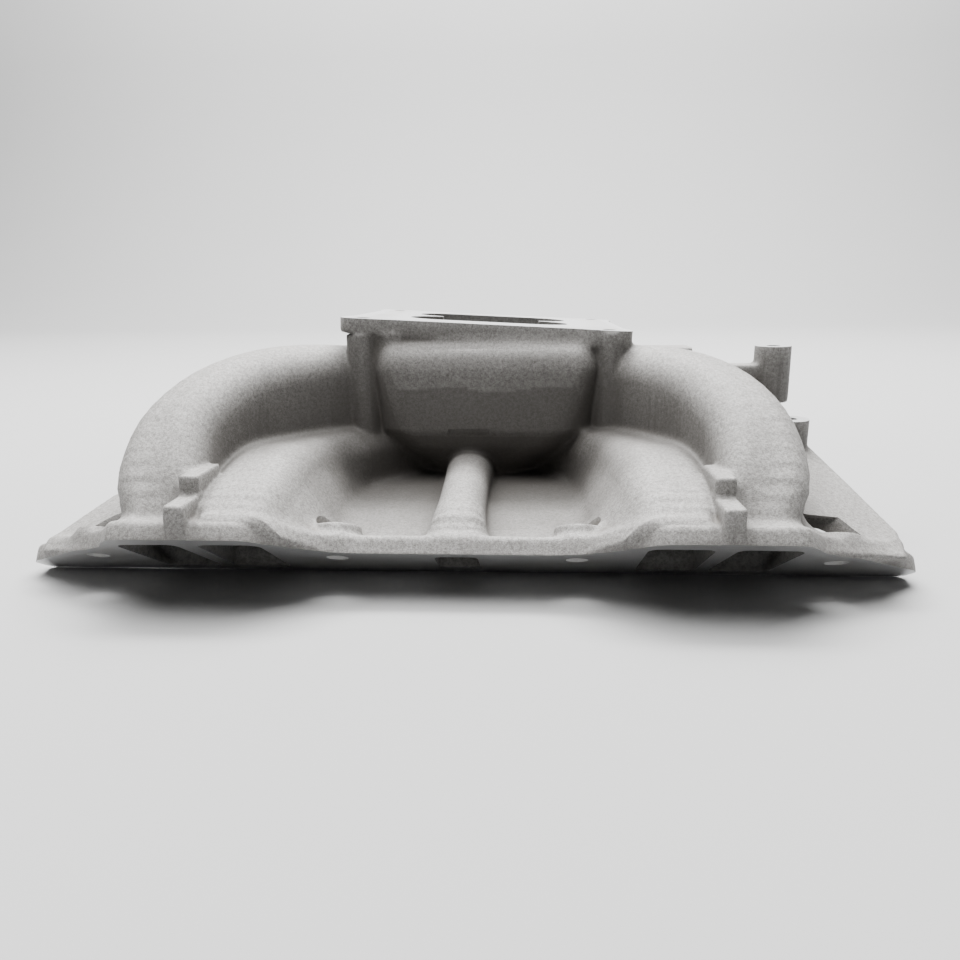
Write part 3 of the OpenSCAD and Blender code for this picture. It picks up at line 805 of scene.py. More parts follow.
def solid_mesh(name: str, points: Array, faces: Sequence[Sequence[int]]) -> bpy.types.Object:
    """Makes an object of a closed solid given in millimetres.

    Args:
        name: Name of the object.
        points: Corners.
        faces: Corner indices of each face.

    Returns:
        The object, with outward faces and not linked to any collection.
    """
    mesh = bpy.data.meshes.new(name)
    mesh.from_pydata([tuple(p * MM) for p in np.asarray(points, dtype=float)], [], faces)
    shape = bmesh.new()
    shape.from_mesh(mesh)
    bmesh.ops.recalc_face_normals(shape, faces=shape.faces)
    if shape.calc_volume(signed=True) < 0:
        bmesh.ops.reverse_faces(shape, faces=shape.faces)
    shape.to_mesh(mesh)
    shape.free()
    return bpy.data.objects.new(name, mesh)


def prism(name: str, base: Sequence[Array], rise: Array) -> bpy.types.Object:
    """Makes a solid by moving a flat outline along a vector."""
    low = np.array(base, dtype=float)
    count = len(low)
    sides = [[i, (i + 1) % count, count + (i + 1) % count, count + i] for i in range(count)]
    caps = [list(range(count))[::-1], list(range(count, 2 * count))]
    return solid_mesh(name, np.vstack([low, low + rise]), caps + sides)


def box(name: str, low: Sequence[float], high: Sequence[float]) -> bpy.types.Object:
    """Makes a block that stands square to the axes."""
    (x0, y0, z0), (x1, y1, z1) = low, high
    outline = [(x0, y0, z0), (x1, y0, z0), (x1, y1, z0), (x0, y1, z0)]
    return prism(name, [np.array(p) for p in outline], np.array([0, 0, z1 - z0]))


def rod(name: str, foot: Array, axis: Array, length: float, radius: float,
        sides: int = 64) -> bpy.types.Object:
    """Makes a round rod from its foot along an axis."""
    axis = np.asarray(axis, dtype=float) / np.linalg.norm(axis)
    side = np.cross(axis, [1.0, 0.0, 0.0] if abs(axis[0]) < 0.8 else [0.0, 1.0, 0.0])
    side /= np.linalg.norm(side)
    turn = np.cross(axis, side)
    angles = np.linspace(0, 2 * math.pi, sides, endpoint=False)
    ring = [foot + radius * (math.cos(a) * side + math.sin(a) * turn) for a in angles]
    return prism(name, ring, axis * length)


@dataclass
class Machined:
    """A cut made after casting: a flat face or a drilled hole.

    Attributes:
        cutter: Solid that is removed.
        point: A point of the flat, or on the hole's axis at its mouth.
        axis: Direction out of the metal.
        radius: Radius of a hole, or of a round flat.
        depth: Depth of a hole, or 0 for a flat.
    """

    cutter: bpy.types.Object
    point: Array
    axis: Array
    radius: float
    depth: float = 0.0

    def marks(self, centres: Array, normals: Array) -> Array:
        """Tells which faces this cut has made.

        Args:
            centres: Centres of the faces.
            normals: Their directions.

        Returns:
            One truth value for each face.
        """
        offset = centres - self.point
        height = offset @ self.axis
        reach = np.linalg.norm(offset - height[:, None] * self.axis, axis=1)
        facing = normals @ self.axis
        if self.depth == 0:
            return (np.abs(height) < 0.02) & (facing > 0.999) & (reach < self.radius)
        wall = (np.abs(reach - self.radius) < 0.06) & (np.abs(facing) < 0.1)
        floor = (np.abs(height + self.depth) < 0.05) & (reach < self.radius + 0.1)
        return (wall & (height < 0.2) & (height > -self.depth - 0.1)) | floor

    def round_normals(self, centres: Array) -> Array:
        """Gives the directions that make a hole's wall look round."""
        offset = self.point - centres
        return offset - (offset @ self.axis)[:, None] * self.axis


def flat_cut(name: str, point: Array, axis: Array, radius: float) -> Machined:
    """Makes a milled flat that removes everything above it, in a round area."""
    axis = np.asarray(axis, dtype=float)
    return Machined(rod(name, point, axis, 12.0, radius, 96), np.asarray(point), axis, radius)


def hole_cut(name: str, point: Array, axis: Array, radius: float, depth: float) -> Machined:
    """Makes a drilled hole that runs down from its mouth."""
    axis = np.asarray(axis, dtype=float)
    cutter = rod(name, np.asarray(point) - axis * depth, axis, depth + 8.0, radius)
    return Machined(cutter, np.asarray(point), axis, radius, depth)


@dataclass
class Section:
    """One section that is sawn out of the casting.

    Attributes:
        name: Name of the finished piece.
        region: Solid that holds the section.
        nodes: Nodes of the CAD model that the piece stands for.
        slot: Material slot of those nodes; not used.
    """

    name: str
    region: bpy.types.Object
    nodes: tuple[str, ...]
    slot: str

    def reach(self) -> tuple[Array, Array]:
        """Gives the lowest and highest corner of the region, in millimetres."""
        return mesh_box(self.region)


def mesh_box(thing: bpy.types.Object) -> tuple[Array, Array]:
    """Gives the lowest and highest corner of an object's mesh, in millimetres."""
    places = np.empty(len(thing.data.vertices) * 3, dtype=np.float32)
    thing.data.vertices.foreach_get("co", places)
    places = places.reshape(-1, 3) / MM
    return places.min(axis=0), places.max(axis=0)


def combine(target: bpy.types.Object, tool: bpy.types.Object, operation: str) -> None:
    """Changes the target by one solid operation with the tool.

    Args:
        target: Object that is changed.
        tool: The other solid.
        operation: INTERSECT, DIFFERENCE or UNION.
    """
    scene = bpy.context.scene.collection
    for thing in (target, tool):
        if thing.name not in scene.objects:
            scene.objects.link(thing)
    step = target.modifiers.new("cut", "BOOLEAN")
    step.operation, step.solver, step.object = operation, "MANIFOLD", tool
    result = target.evaluated_get(bpy.context.evaluated_depsgraph_get())
    mesh = bpy.data.meshes.new_from_object(result)
    target.modifiers.clear()
    old = target.data
    target.data = mesh
    bpy.data.meshes.remove(old)
    scene.objects.unlink(tool)


# ------------------------------------------------------------------------ finishes


PEBBLE_RATIO = 0.38
CLOUDS_PER_METRE = 26.0
BLOTCHES_PER_METRE = 85.0
GRIT_SPREAD = 0.26
ROUGH_SPREAD = 0.07


@dataclass(frozen=True)
class MetalFinish:
    """Procedural finish of one kind of surface.

    Attributes:
        name: Name of the material.
        light: Colour of the tops of the grain.
        dark: Colour of the grain's hollows.
        stain: Colour that gathers in the recesses.
        rough: Roughness.
        metal: How metallic the surface looks.
        grain: Size of the grain, in millimetres.
        relief: Height of the grain, in millimetres.
        contrast: Strength of the salt-and-pepper colour.
        dusk: Strength of the painted shade in the deep valleys.
        shade: Colour of the painted shade that stands in for the light blocked in the deep valleys.
    """

    name: str
    light: tuple[float, float, float]
    dark: tuple[float, float, float]
    stain: tuple[float, float, float]
    rough: float
    metal: float
    grain: float
    relief: float
    contrast: float
    # dusk and shade paint shade into the deep valleys, for the light that the metal round them blocks
    dusk: float = 0.0
    shade: tuple[float, float, float] = (0.052, 0.047, 0.042)

    def material(self) -> bpy.types.Material:
        """Builds the material.

        Returns:
            A new material of shader nodes.
        """
        made = bpy.data.materials.new(self.name)
        made.use_nodes = True
        graph = Graph(made.node_tree)
        place = graph.add("ShaderNodeTexCoord").outputs["Object"]
        scale = 1.0 / (self.grain * MM)
        speck = graph.noise(place, scale, 3.0, 0.62)
        pebble = graph.noise(place, scale * PEBBLE_RATIO, 2.0, 0.5)
        cloud = graph.noise(place, CLOUDS_PER_METRE, 4.0, 0.55)
        blotch = graph.noise(place, BLOTCHES_PER_METRE, 3.0, 0.6)
        worn = graph.add("ShaderNodeAttribute")
        worn.attribute_name = "cavity"
        grit = graph.mix_values(speck, pebble, 0.38)
        spread = GRIT_SPREAD / self.contrast
        tone = graph.ramp(grit, 0.5 - spread, 0.5 + spread)
        base = graph.mix_colours(tone, self.dark, self.light)
        recess = graph.ramp(worn.outputs["Fac"], 0.08, 0.75)
        stain = graph.multiply(recess, graph.ramp(cloud, 0.2, 0.8))
        stained = graph.blend(graph.scaled(stain, 0.75), base, self.stain)
        patch = graph.ramp(graph.mix_values(cloud, blotch, 0.4), 0.42, 0.66)
        shaded = graph.blend(graph.scaled(patch, 0.16), stained, self.dark)
        # Painted shade: the valley value darkens the colour towards the shade colour, for the light that
        # higher metal round a place blocks
        shade_mask = graph.add("ShaderNodeAttribute")
        shade_mask.attribute_name = "valley"
        depth = graph.scaled(graph.ramp(shade_mask.outputs["Fac"], 0.06, 0.72), self.dusk)
        shaded = graph.blend(depth, shaded, self.shade)
        shader = graph.add("ShaderNodeBsdfPrincipled")
        shader.inputs["Metallic"].default_value = self.metal
        graph.link(shaded, shader.inputs["Base Color"])
        rough = graph.add("ShaderNodeMapRange")
        rough.inputs["To Min"].default_value = self.rough - ROUGH_SPREAD
        rough.inputs["To Max"].default_value = self.rough + ROUGH_SPREAD
        graph.link(grit, rough.inputs["Value"])
        graph.link(rough.outputs["Result"], shader.inputs["Roughness"])
        bump = graph.add("ShaderNodeBump")
        bump.inputs["Distance"].default_value = self.relief * MM
        bump.inputs["Strength"].default_value = 1.0
        graph.link(grit, bump.inputs["Height"])
        graph.link(bump.outputs["Normal"], shader.inputs["Normal"])
        output = graph.add("ShaderNodeOutputMaterial")
        graph.link(shader.outputs["BSDF"], output.inputs["Surface"])
        made.diffuse_color = (*self.light, 1.0)
        return made


@dataclass
class Graph:
    """Small helper that adds and joins shader nodes.

    Attributes:
        tree: Node tree that is built.
    """

    tree: bpy.types.NodeTree

    def __post_init__(self) -> None:
        """Starts from an empty tree."""
        self.tree.nodes.clear()

    def add(self, kind: str) -> bpy.types.Node:
        """Adds one node of a kind."""
        return self.tree.nodes.new(kind)

    def link(self, source: Any, target: Any) -> None:
        """Joins two sockets."""
        self.tree.links.new(source, target)

    def noise(self, place: Any, scale: float, detail: float, rough: float) -> Any:
        """Adds a noise texture and returns its value."""
        node = self.add("ShaderNodeTexNoise")
        node.inputs["Scale"].default_value = scale
        node.inputs["Detail"].default_value = detail
        node.inputs["Roughness"].default_value = rough
        self.link(place, node.inputs["Vector"])
        return node.outputs["Fac"]

    def math(self, kind: str, first: Any, second: Any) -> Any:
        """Adds a math node; each input is a socket or a number."""
        node = self.add("ShaderNodeMath")
        node.operation = kind
        for socket, value in zip(node.inputs, (first, second)):
            if isinstance(value, (int, float)):
                socket.default_value = value
            else:
                self.link(value, socket)
        return node.outputs[0]

    def multiply(self, first: Any, second: Any) -> Any:
        """Multiplies two values."""
        return self.math("MULTIPLY", first, second)

    def scaled(self, value: Any, factor: float) -> Any:
        """Multiplies a value by a number."""
        return self.math("MULTIPLY", value, factor)

    def ramp(self, value: Any, low: float, high: float) -> Any:
        """Stretches a value so that low becomes 0 and high becomes 1."""
        node = self.add("ShaderNodeMapRange")
        node.interpolation_type = "SMOOTHSTEP"
        node.inputs["From Min"].default_value = low
        node.inputs["From Max"].default_value = high
        self.link(value, node.inputs["Value"])
        return node.outputs["Result"]

    def mix_values(self, first: Any, second: Any, share: float) -> Any:
        """Mixes two values."""
        node = self.add("ShaderNodeMix")
        node.data_type = "FLOAT"
        node.inputs[0].default_value = share
        self.link(first, node.inputs[2])
        self.link(second, node.inputs[3])
        return node.outputs[0]

    def mix_colours(self, share: Any, first: Sequence[float], second: Sequence[float]) -> Any:
        """Mixes two fixed colours by a value."""
        node = self.add("ShaderNodeMix")
        node.data_type = "RGBA"
        node.inputs[6].default_value = (*first, 1.0)
        node.inputs[7].default_value = (*second, 1.0)
        self.link(share, node.inputs[0])
        return node.outputs[2]

    def blend(self, share: Any, base: Any, colour: Sequence[float]) -> Any:
        """Mixes a colour socket towards a fixed colour by a value."""
        node = self.add("ShaderNodeMix")
        node.data_type = "RGBA"
        self.link(base, node.inputs[6])
        node.inputs[7].default_value = (*colour, 1.0)
        self.link(share, node.inputs[0])
        return node.outputs[2]


# The cast finish's last value, 0.9, is the strength of its painted shade in the deep valleys
CAST_FINISH = MetalFinish(
    "cast_aluminium", (0.35, 0.342, 0.330), (0.105, 0.10, 0.093), (0.13, 0.105, 0.082),
    0.66, 0.15, 0.62, 0.20, 1.25, 0.9)
MACHINED_FINISH = MetalFinish(
    "machined_aluminium", (0.60, 0.60, 0.60), (0.42, 0.42, 0.42), (0.36, 0.35, 0.33),
    0.38, 0.85, 0.45, 0.02, 0.8)
INSIDE_FINISH = MetalFinish(
    "cast_inside", (0.24, 0.235, 0.225), (0.10, 0.097, 0.09), (0.09, 0.08, 0.07),
    0.72, 0.3, 1.1, 0.25, 1.0)
STEEL_FINISH = MetalFinish(
    "plug_steel", (0.30, 0.29, 0.27), (0.14, 0.135, 0.125), (0.13, 0.10, 0.07),
    0.48, 0.85, 0.5, 0.03, 1.0)


# ------------------------------------------------------------------------- casting


@dataclass
class Casting:
    """The whole casting: shaped, machined and sawn into sections.

    Attributes:
        step: Spacing of the distance field.
        sink: How far round a place the small recesses are looked for.
        reaches: Distances at which higher metal round a place is looked for, for the painted shade.
        wave: Height of the sand mould's slight waviness.
    """

    step: float
    sink: float = 6.0
    reaches: tuple[float, ...] = (5.0, 10.0, 18.0, 30.0, 48.0, 75.0)
    wave: float = 0.22
    skin: Grid = field(init=False)
    hollow: Grid = field(init=False)
    metal: Grid = field(init=False)
    soft: Grid = field(init=False)
    ridges: Array = field(init=False)
    cuts: list[Machined] = field(default_factory=list)
    finishes: list[bpy.types.Material] = field(default_factory=list)

    def __post_init__(self) -> None:
        """Lays out the two fields and makes the finishes."""
        low, high = (-229.0, -208.0, -6.0), (229.0, 208.0, 134.0)
        self.skin, self.hollow = Grid(low, high, self.step), Grid(low, high, self.step)
        self.finishes = [f.material() for f in (CAST_FINISH, MACHINED_FINISH, INSIDE_FINISH)]

    def settle(self) -> None:
        """Joins skin and hollow into one field and measures its recesses."""
        x, y, z = self.skin.window((-500, -500, -500), (500, 500, 500))[1]
        ripple = np.sin(x / 23 + y / 31) + np.sin(y / 19 - z / 27 + 1.7) + np.sin(z / 15 + x / 37 + 0.6)
        ripple = ripple + 0.6 * (np.sin(x / 7.3 - z / 9.1) + np.sin(y / 8.3 + x / 11.9))
        skin = self.skin.values + (self.wave / 3) * ripple
        self.metal = Grid(self.skin.low, self.skin.high, self.step)
        self.metal.values = smooth_max(skin, -self.hollow.values, 1.0).astype(np.float32)
        self.soft = self.metal.blurred(self.sink)
        # Height of the highest metal over each spot in plan, used for the painted shade
        solid = self.metal.values < 0
        highest = solid.shape[2] - 1 - np.argmax(solid[:, :, ::-1], axis=2)
        self.ridges = np.where(solid.any(axis=2), self.metal.axes[2][highest], -50.0)
        LOG.info("field settled: %s points", self.metal.values.shape)

    def window_object(self, name: str, low: Array, high: Array) -> bpy.types.Object:
        """Makes a closed mesh of the metal near a box."""
        where, _ = self.metal.window(low - 3 * self.step, high + 3 * self.step)
        part = Grid.__new__(Grid)
        part.step = self.step
        part.axes = [axis[s] for axis, s in zip(self.metal.axes, where)]
        part.values = self.metal.values[where]
        return part.surface(name)

    def saw(self, section: Section, earlier: Sequence[Section]) -> bpy.types.Object:
        """Cuts one section out of the casting, with its machined faces.

        Args:
            section: Section to make.
            earlier: Sections that have taken their share already.

        Returns:
            The finished object, linked and dressed.
        """
        low, high = section.reach()
        region = bpy.data.objects.new("region", section.region.data.copy())
        for other in [*(e.region for e in earlier), *(c.cutter for c in self.cuts)]:
            other_low, other_high = mesh_box(other)
            if (np.minimum(high, other_high) > np.maximum(low, other_low)).all():
                combine(region, other, "DIFFERENCE")
        piece = self.window_object(section.name, low, high)
        combine(piece, region, "INTERSECT")
        bpy.data.objects.remove(region)
        self.dress(piece)
        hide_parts(*section.nodes)
        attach(piece, BODY)
        LOG.info("%s: %d faces", section.name, len(piece.data.polygons))
        return piece

    def dress(self, piece: bpy.types.Object) -> None:
        """Sets the finishes, the shading, the recess values and the painted-shade values of one section.
        """
        mesh = piece.data
        mesh.materials.clear()
        for finish in self.finishes:
            mesh.materials.append(finish)
        faces, corners = len(mesh.polygons), len(mesh.loops)
        centres = np.empty(faces * 3, dtype=np.float32)
        mesh.polygons.foreach_get("center", centres)
        centres = centres.reshape(-1, 3).astype(float) / MM
        normals = np.empty(faces * 3, dtype=np.float32)
        mesh.polygons.foreach_get("normal", normals)
        normals = normals.reshape(-1, 3).astype(float)
        totals = np.empty(faces, dtype=np.int32)
        mesh.polygons.foreach_get("loop_total", totals)
        owner = np.repeat(np.arange(faces), totals)
        vertex = np.empty(corners, dtype=np.int32)
        mesh.loops.foreach_get("vertex_index", vertex)
        places = np.empty(len(mesh.vertices) * 3, dtype=np.float32)
        mesh.vertices.foreach_get("co", places)
        places = places.reshape(-1, 3).astype(float) / MM

        kind = np.full(faces, Surface.CAST.value, dtype=np.int32)
        inner = self.hollow.sample(centres)
        kind[inner < 0.9] = Surface.INSIDE.value
        smooth = self.slopes(places)[vertex]
        off_surface = np.abs(self.metal.sample(centres)) > 0.35
        smooth[off_surface[owner]] = normals[owner][off_surface[owner]]
        for cut in self.cuts:
            marked = cut.marks(centres, normals)
            if not marked.any():
                continue
            kind[marked] = Surface.MACHINED.value
            chosen = marked[owner]
            smooth[chosen] = normals[owner][chosen]
            if cut.depth:
                wall = chosen & (np.abs(normals @ cut.axis) < 0.1)[owner]
                smooth[wall] = cut.round_normals(places[vertex[wall]])
        length = np.linalg.norm(smooth, axis=1, keepdims=True)
        smooth = np.where(length > 1e-6, smooth / np.maximum(length, 1e-6), normals[owner])
        mesh.polygons.foreach_set("material_index", kind)
        mesh.polygons.foreach_set("use_smooth", np.ones(faces, dtype=bool))
        mesh.normals_split_custom_set(smooth.tolist())
        sunk = np.clip(-self.soft.sample(places) / (0.35 * self.sink), -1, 1).astype(np.float32)
        mesh.attributes.new("cavity", "FLOAT", "POINT").data.foreach_set("value", sunk)
        # valley: how much higher metal round each place blocks the light; the material paints it as shade
        painted_shade = self.painted_shade(places).astype(np.float32)
        mesh.attributes.new("valley", "FLOAT", "POINT").data.foreach_set("value", painted_shade)
        mesh.update()

    def painted_shade(self, places: Array) -> Array:
        """Tells how much the metal round each place stands above it, which the material paints as shade.

        Args:
            places: One row of coordinates for each place.

        Returns:
            0 on an open top, up to 1 in a deep valley.
        """
        corner = np.array(self.metal.low[:2])
        last = np.array(self.ridges.shape) - 1
        total = np.zeros(len(places))
        angles = np.radians(np.arange(0, 360, 30))
        for angle in angles:
            climb = np.zeros(len(places))
            for reach in self.reaches:
                spot = places[:, :2] + reach * np.array([math.cos(angle), math.sin(angle)])
                cell = np.clip(((spot - corner) / self.step).round().astype(int), 0, last)
                higher = self.ridges[cell[:, 0], cell[:, 1]] - places[:, 2] - 1.5 * self.step
                climb = np.maximum(climb, higher / reach)
            total += climb / np.sqrt(1 + climb * climb)
        return total / len(angles)

    def slopes(self, places: Array) -> Array:
        """Gives the outward direction of the field at each place."""
        reach = 1.3 * self.step
        columns = []
        for axis in range(3):
            shift = np.zeros(3)
            shift[axis] = reach
            columns.append(self.metal.sample(places + shift) - self.metal.sample(places - shift))
        return np.stack(columns, axis=1)


# ------------------------------------------------------------------ shapes in order


@dataclass
class Manifold:
    """Every cast feature of the manifold, in the order in which they are joined.

    Attributes:
        casting: Field that the features are added to.
    """

    casting: Casting

    def port_start(self, x: float) -> list[Station]:
        """Gives the first stations of a duct, from the face up through the flange."""
        wide, tall = PORT_WIDTH + 2 * WALL, PORT_HEIGHT + 2 * WALL
        low = FACE.place(Bank.NEAR, x, PORT_S, -FACE.stock)
        high = FACE.place(Bank.NEAR, x, PORT_S, FACE.thickness)
        return [Station(tuple(low), wide, tall, 5 + WALL), Station(tuple(high), wide, tall, 5.5 + WALL)]

    def runners(self) -> list[Duct]:
        """Describes the eight intake runners."""
        outer, inner = PORT_OUTER_X, PORT_INNER_X
        return [
            Duct("runner_1", Bank.NEAR, [
                *self.port_start(outer), Station((143.5, -153, 48), 42, 57, 13),
                Station((141, -132, 69), 43, 51, 17), Station((130, -104, 84), 43, 46, 19),
                Station((108, -73, 89), 42, 46, 19), Station((70, -38, 88), 38, 44, 16)],
                curtain_z=60.0),
            Duct("runner_7", Bank.NEAR, [
                *self.port_start(-outer), Station((-143.5, -153, 48), 42, 57, 13),
                Station((-141, -132, 70), 43, 51, 17), Station((-127, -103, 86), 43, 46, 19),
                Station((-100, -72, 91), 42, 46, 19), Station((-52, -38, 88), 38, 44, 16)],
                curtain_z=60.0),
            Duct("runner_3", Bank.NEAR, [
                *self.port_start(inner), Station((102.5, -150, 36), 39, 50, 11),
                Station((101.5, -128, 42), 40, 46, 13), Station((98, -104, 43), 42, 42, 14),
                Station((87, -78, 43), 43, 42, 14), Station((58, -40, 43), 43, 42, 14)]),
            Duct("runner_5", Bank.NEAR, [
                *self.port_start(-inner), Station((-102.5, -150, 36), 39, 50, 11),
                Station((-101.5, -128, 42), 40, 46, 13), Station((-97, -104, 43), 42, 42, 14),
                Station((-83, -78, 43), 43, 42, 14), Station((-42, -40, 43), 43, 42, 14)]),
            Duct("runner_4", Bank.FAR, [
                *self.port_start(inner), Station((102, -153, 46), 38, 54, 12),
                Station((101, -134, 64), 39, 47, 15), Station((101, -108, 82), 42, 42, 18),
                Station((99, -76, 86), 44, 40, 18), Station((70, -46, 87), 44, 41, 17)]),
            Duct("runner_6", Bank.FAR, [
                *self.port_start(-inner), Station((-102, -153, 46), 38, 54, 12),
                Station((-101, -134, 64), 39, 47, 15), Station((-99, -106, 82), 42, 42, 18),
                Station((-89, -78, 86), 44, 40, 18), Station((-54, -50, 87), 44, 41, 17)]),
            Duct("runner_2", Bank.FAR, [
                *self.port_start(outer), Station((142, -150, 36), 39, 50, 11),
                Station((143.5, -126, 41), 40, 44, 13), Station((136, -98, 43), 42, 42, 15),
                Station((114, -66, 44), 44, 42, 15), Station((72, -48, 44), 44, 42, 15)]),
            Duct("runner_8", Bank.FAR, [
                *self.port_start(-outer), Station((-142, -150, 36), 39, 50, 11),
                Station((-143.5, -126, 41), 40, 44, 13), Station((-134, -98, 43), 42, 42, 15),
                Station((-106, -66, 44), 44, 42, 15), Station((-54, -48, 44), 44, 42, 15)]),
        ]

    def crossover(self, bank: Bank) -> Duct:
        """Describes the heat crossover from one port face to the plenum floor."""
        low = FACE.place(Bank.NEAR, 0, CROSSOVER_S, -FACE.stock)
        high = FACE.place(Bank.NEAR, 0, CROSSOVER_S, FACE.thickness)
        return Duct(f"crossover_{bank.name.lower()}", bank, [
            Station(tuple(low), 30, 37, 8), Station(tuple(high), 30, 37, 9),
            Station((0, -150, 29), 27, 29, 12), Station((0, -128, 34), 25, 27, 12.4),
            Station((0, -98, 37.5), 26, 26, 12.8), Station((0, -70, 38.5), 28, 26, 12.9),
            Station((0, 2, 38.5), 28, 26, 12.9)], fillet=5.0)

    def shape(self) -> None:
        """Adds every feature to the casting's fields."""
        skin, hollow = self.casting.skin, self.casting.hollow
        Plenum().cast(skin, hollow)
        for bank in Bank:
            Flange(bank).cast(skin)
            self.web(bank).cast(skin)
        for duct in (*self.runners(), *(self.crossover(bank) for bank in Bank)):
            duct.cast(skin, hollow)
        RunnerSkirt(End.FRONT).cast(skin)
        RunnerSkirt(End.REAR).cast(skin)
        Pad().cast(skin)
        for bank in Bank:
            for end, radius in ((End.REAR, 9.8), (End.FRONT, 10.5)):
                Column(POST_X[end.value], bank.value * 66.5, 58.0, 120.0, radius, 2.0, 1.0).cast(skin)
            lobe_x = POST_X[End.REAR.value] + 16.4
            Column(lobe_x, bank.value * 63.0, 100.0, 120.0, 11.0, 4.0, 1.0).cast(skin)
        self.lugs()
        self.front_end()
        self.casting.settle()

    def web(self, bank: Bank) -> SlopingWeb:
        """Describes the valley floor between flange and plenum on one bank."""
        y0, y1 = bank.value * 186.0, bank.value * 50.0
        outline = ((-104.0, y0), (104.0, y0), (88.0, y1), (-70.0, y1))
        return SlopingWeb(
            outline, (0.0, bank.value * WEB_ROOT_Y, WEB_Z), 0.0, -bank.value * WEB_FALL, 6.5, 5.0)

    def lugs(self) -> None:
        """Adds the stepped fins between the runners of each pair."""
        for bank in Bank:
            for end in End:
                x = end.value * LUG_X
                for root, tip, top in ((158.0, 185.0, 63.5), (160.0, 204.0, 54.5)):
                    ys = sorted((bank.value * root, bank.value * tip))
                    step = Block((x - 4.75, ys[0], 36.0), (x + 4.75, ys[1], top), 0.8, 1.5)
                    step.cast(self.casting.skin)

    def front_end(self) -> None:
        """Adds the end webs, the bosses and the vacuum block."""
        skin = self.casting.skin
        SlopingWeb(
            ((140, -188), (140, -58), (186, -58), (200, -70), (217, -146), (208, -188)),
            (190.0, -140.0, 36.0), -0.27, 0.28, 8.0, 6.0).cast(skin)
        SlopingWeb(
            ((-140, -188), (-208, -188), (-213, -150), (-196, -118), (-140, -112)),
            (-190.0, -140.0, 32.0), 0.27, 0.28, 8.0, 6.0).cast(skin)
        for boss, foot, radius, fillet in ((COIL_BOSS, 75.0, 10.8, 2.0), (FRONT_BOSS, 44.0, 11.2, 3.0)):
            x, y, top = boss
            Column(x, y, foot, top + STOCK, radius, fillet, 1.5).cast(skin)
        Block((70.0, -40.0, 78.0), (182.0, -28.0, 98.0), 1.5, 2.5).cast(skin)
        Block((100.0, 45.0, 80.0), (153.5, 71.0, 102.0), 2.2, 5.0).cast(skin)

    def machine(self) -> None:
        """Lists every milled face and drilled hole."""
        cuts = self.casting.cuts
        for bank in Bank:
            corners = [
                FACE.place(bank, x, s, -9.0) for x, s in ((-240, -12), (240, -12), (240, 90), (-240, 90))
            ]
            slab = prism("face_cutter", corners, FACE.normal(bank) * 9.0)
            cuts.append(Machined(slab, FACE.place(bank, 0, 0, 0), -FACE.normal(bank), 400.0))
            for side in (-1, 1):
                for x, top, radius in ((BOLT_INNER_X, 15.5, 11.8), (BOLT_OUTER_X, 12.5, 12.6)):
                    mouth = FACE.place(bank, side * x, FACE.bolt_s, top)
                    cuts.append(flat_cut("spot_face", mouth, FACE.normal(bank), radius))
                    cuts.append(hole_cut("bolt_hole", mouth, FACE.normal(bank), BOLT_RADIUS, top + 2.0))
        corners = [PAD.place(a, b, 0.0) for a, b in ((-95, -85), (95, -85), (95, 85), (-95, 85))]
        slab = prism("pad_cutter", corners, PAD.normal() * 9.0)
        cuts.append(Machined(slab, PAD.place(0, 0, 0), PAD.normal(), 200.0))
        for a in (-STUD_A, STUD_A):
            for b in (-STUD_B, STUD_B):
                cuts.append(hole_cut("stud_hole", PAD.place(a, b, 0.0), PAD.normal(), STUD_RADIUS, 34.0))
        up, front = np.array([0.0, 0.0, 1.0]), np.array([1.0, 0.0, 0.0])
        for top, radius, depth in ((COIL_BOSS, 4.0, 25.0), (FRONT_BOSS, 4.5, 18.0)):
            cuts.append(flat_cut("boss_top", np.array(top), up, 13.0))
            cuts.append(hole_cut("boss_hole", np.array(top), up, radius, depth))
        mouth = np.array(VACUUM_FACE)
        cuts.append(flat_cut("vacuum_face", mouth, front, 20.0))
        cuts.append(hole_cut("vacuum_hole", mouth, front, 8.05, 19.0))

    def sections(self) -> list[Section]:
        """Lists the sections in the order in which they take their share."""
        cast, faced = "cast_aluminium", "machined_casting"
        found: list[Section] = []
        for bank, ports in ((Bank.NEAR, "7531"), (Bank.FAR, "8642")):
            side = bank.name.lower()
            corners = [
                FACE.place(bank, x, s, -5.0) for x, s in ((-232, -9), (232, -9), (232, 86), (-232, 86))
            ]
            slab = prism("flange", corners, FACE.normal(bank) * 15.6)
            for x in (-BOLT_OUTER_X, -BOLT_INNER_X, BOLT_INNER_X, BOLT_OUTER_X):
                foot = FACE.place(bank, x, FACE.bolt_s, -1.0)
                combine(slab, rod("boss", foot, FACE.normal(bank), 19.0, 11.9), "UNION")
            nodes = [f"{side}_port_frame_{number}" for number in ports]
            for end in ("rear", "front"):
                nodes += [f"{side}_flange_{end}_{part}" for part in ("end", "middle")]
            found.append(Section(f"{side}_port_flange", slab, (*nodes, f"{side}_crossover_frame"), faced))
        corners = [PAD.place(a, b, -10.5) for a, b in ((-88, -80), (85.4, -80), (85.4, 80), (-88, 80))]
        found.append(Section(
            "carburettor_pad", prism("pad", corners, PAD.normal() * 16), ("carburettor_pad",), faced))
        riser = box("riser", (-66, -78, 110), (84.5, 78, 131))
        found.append(Section("carburettor_riser", riser, ("carburettor_riser",), cast))
        for bank in Bank:
            for end in (End.FRONT, End.REAR):
                name = f"stud_post_{bank.name.lower()}_{end.name.lower()}"
                foot = np.array([POST_X[end.value], bank.value * STUD_B, 60.0])
                post = rod(name, foot, np.array([0.0, 0.0, 1.0]), 50.0, 11.6)
                found.append(Section(name, post, (name,), cast))
        found.append(Section(
            "upper_plenum", box("upper", (-66, -84, 66), (84.5, 84, 110)), ("upper_plenum",), cast))
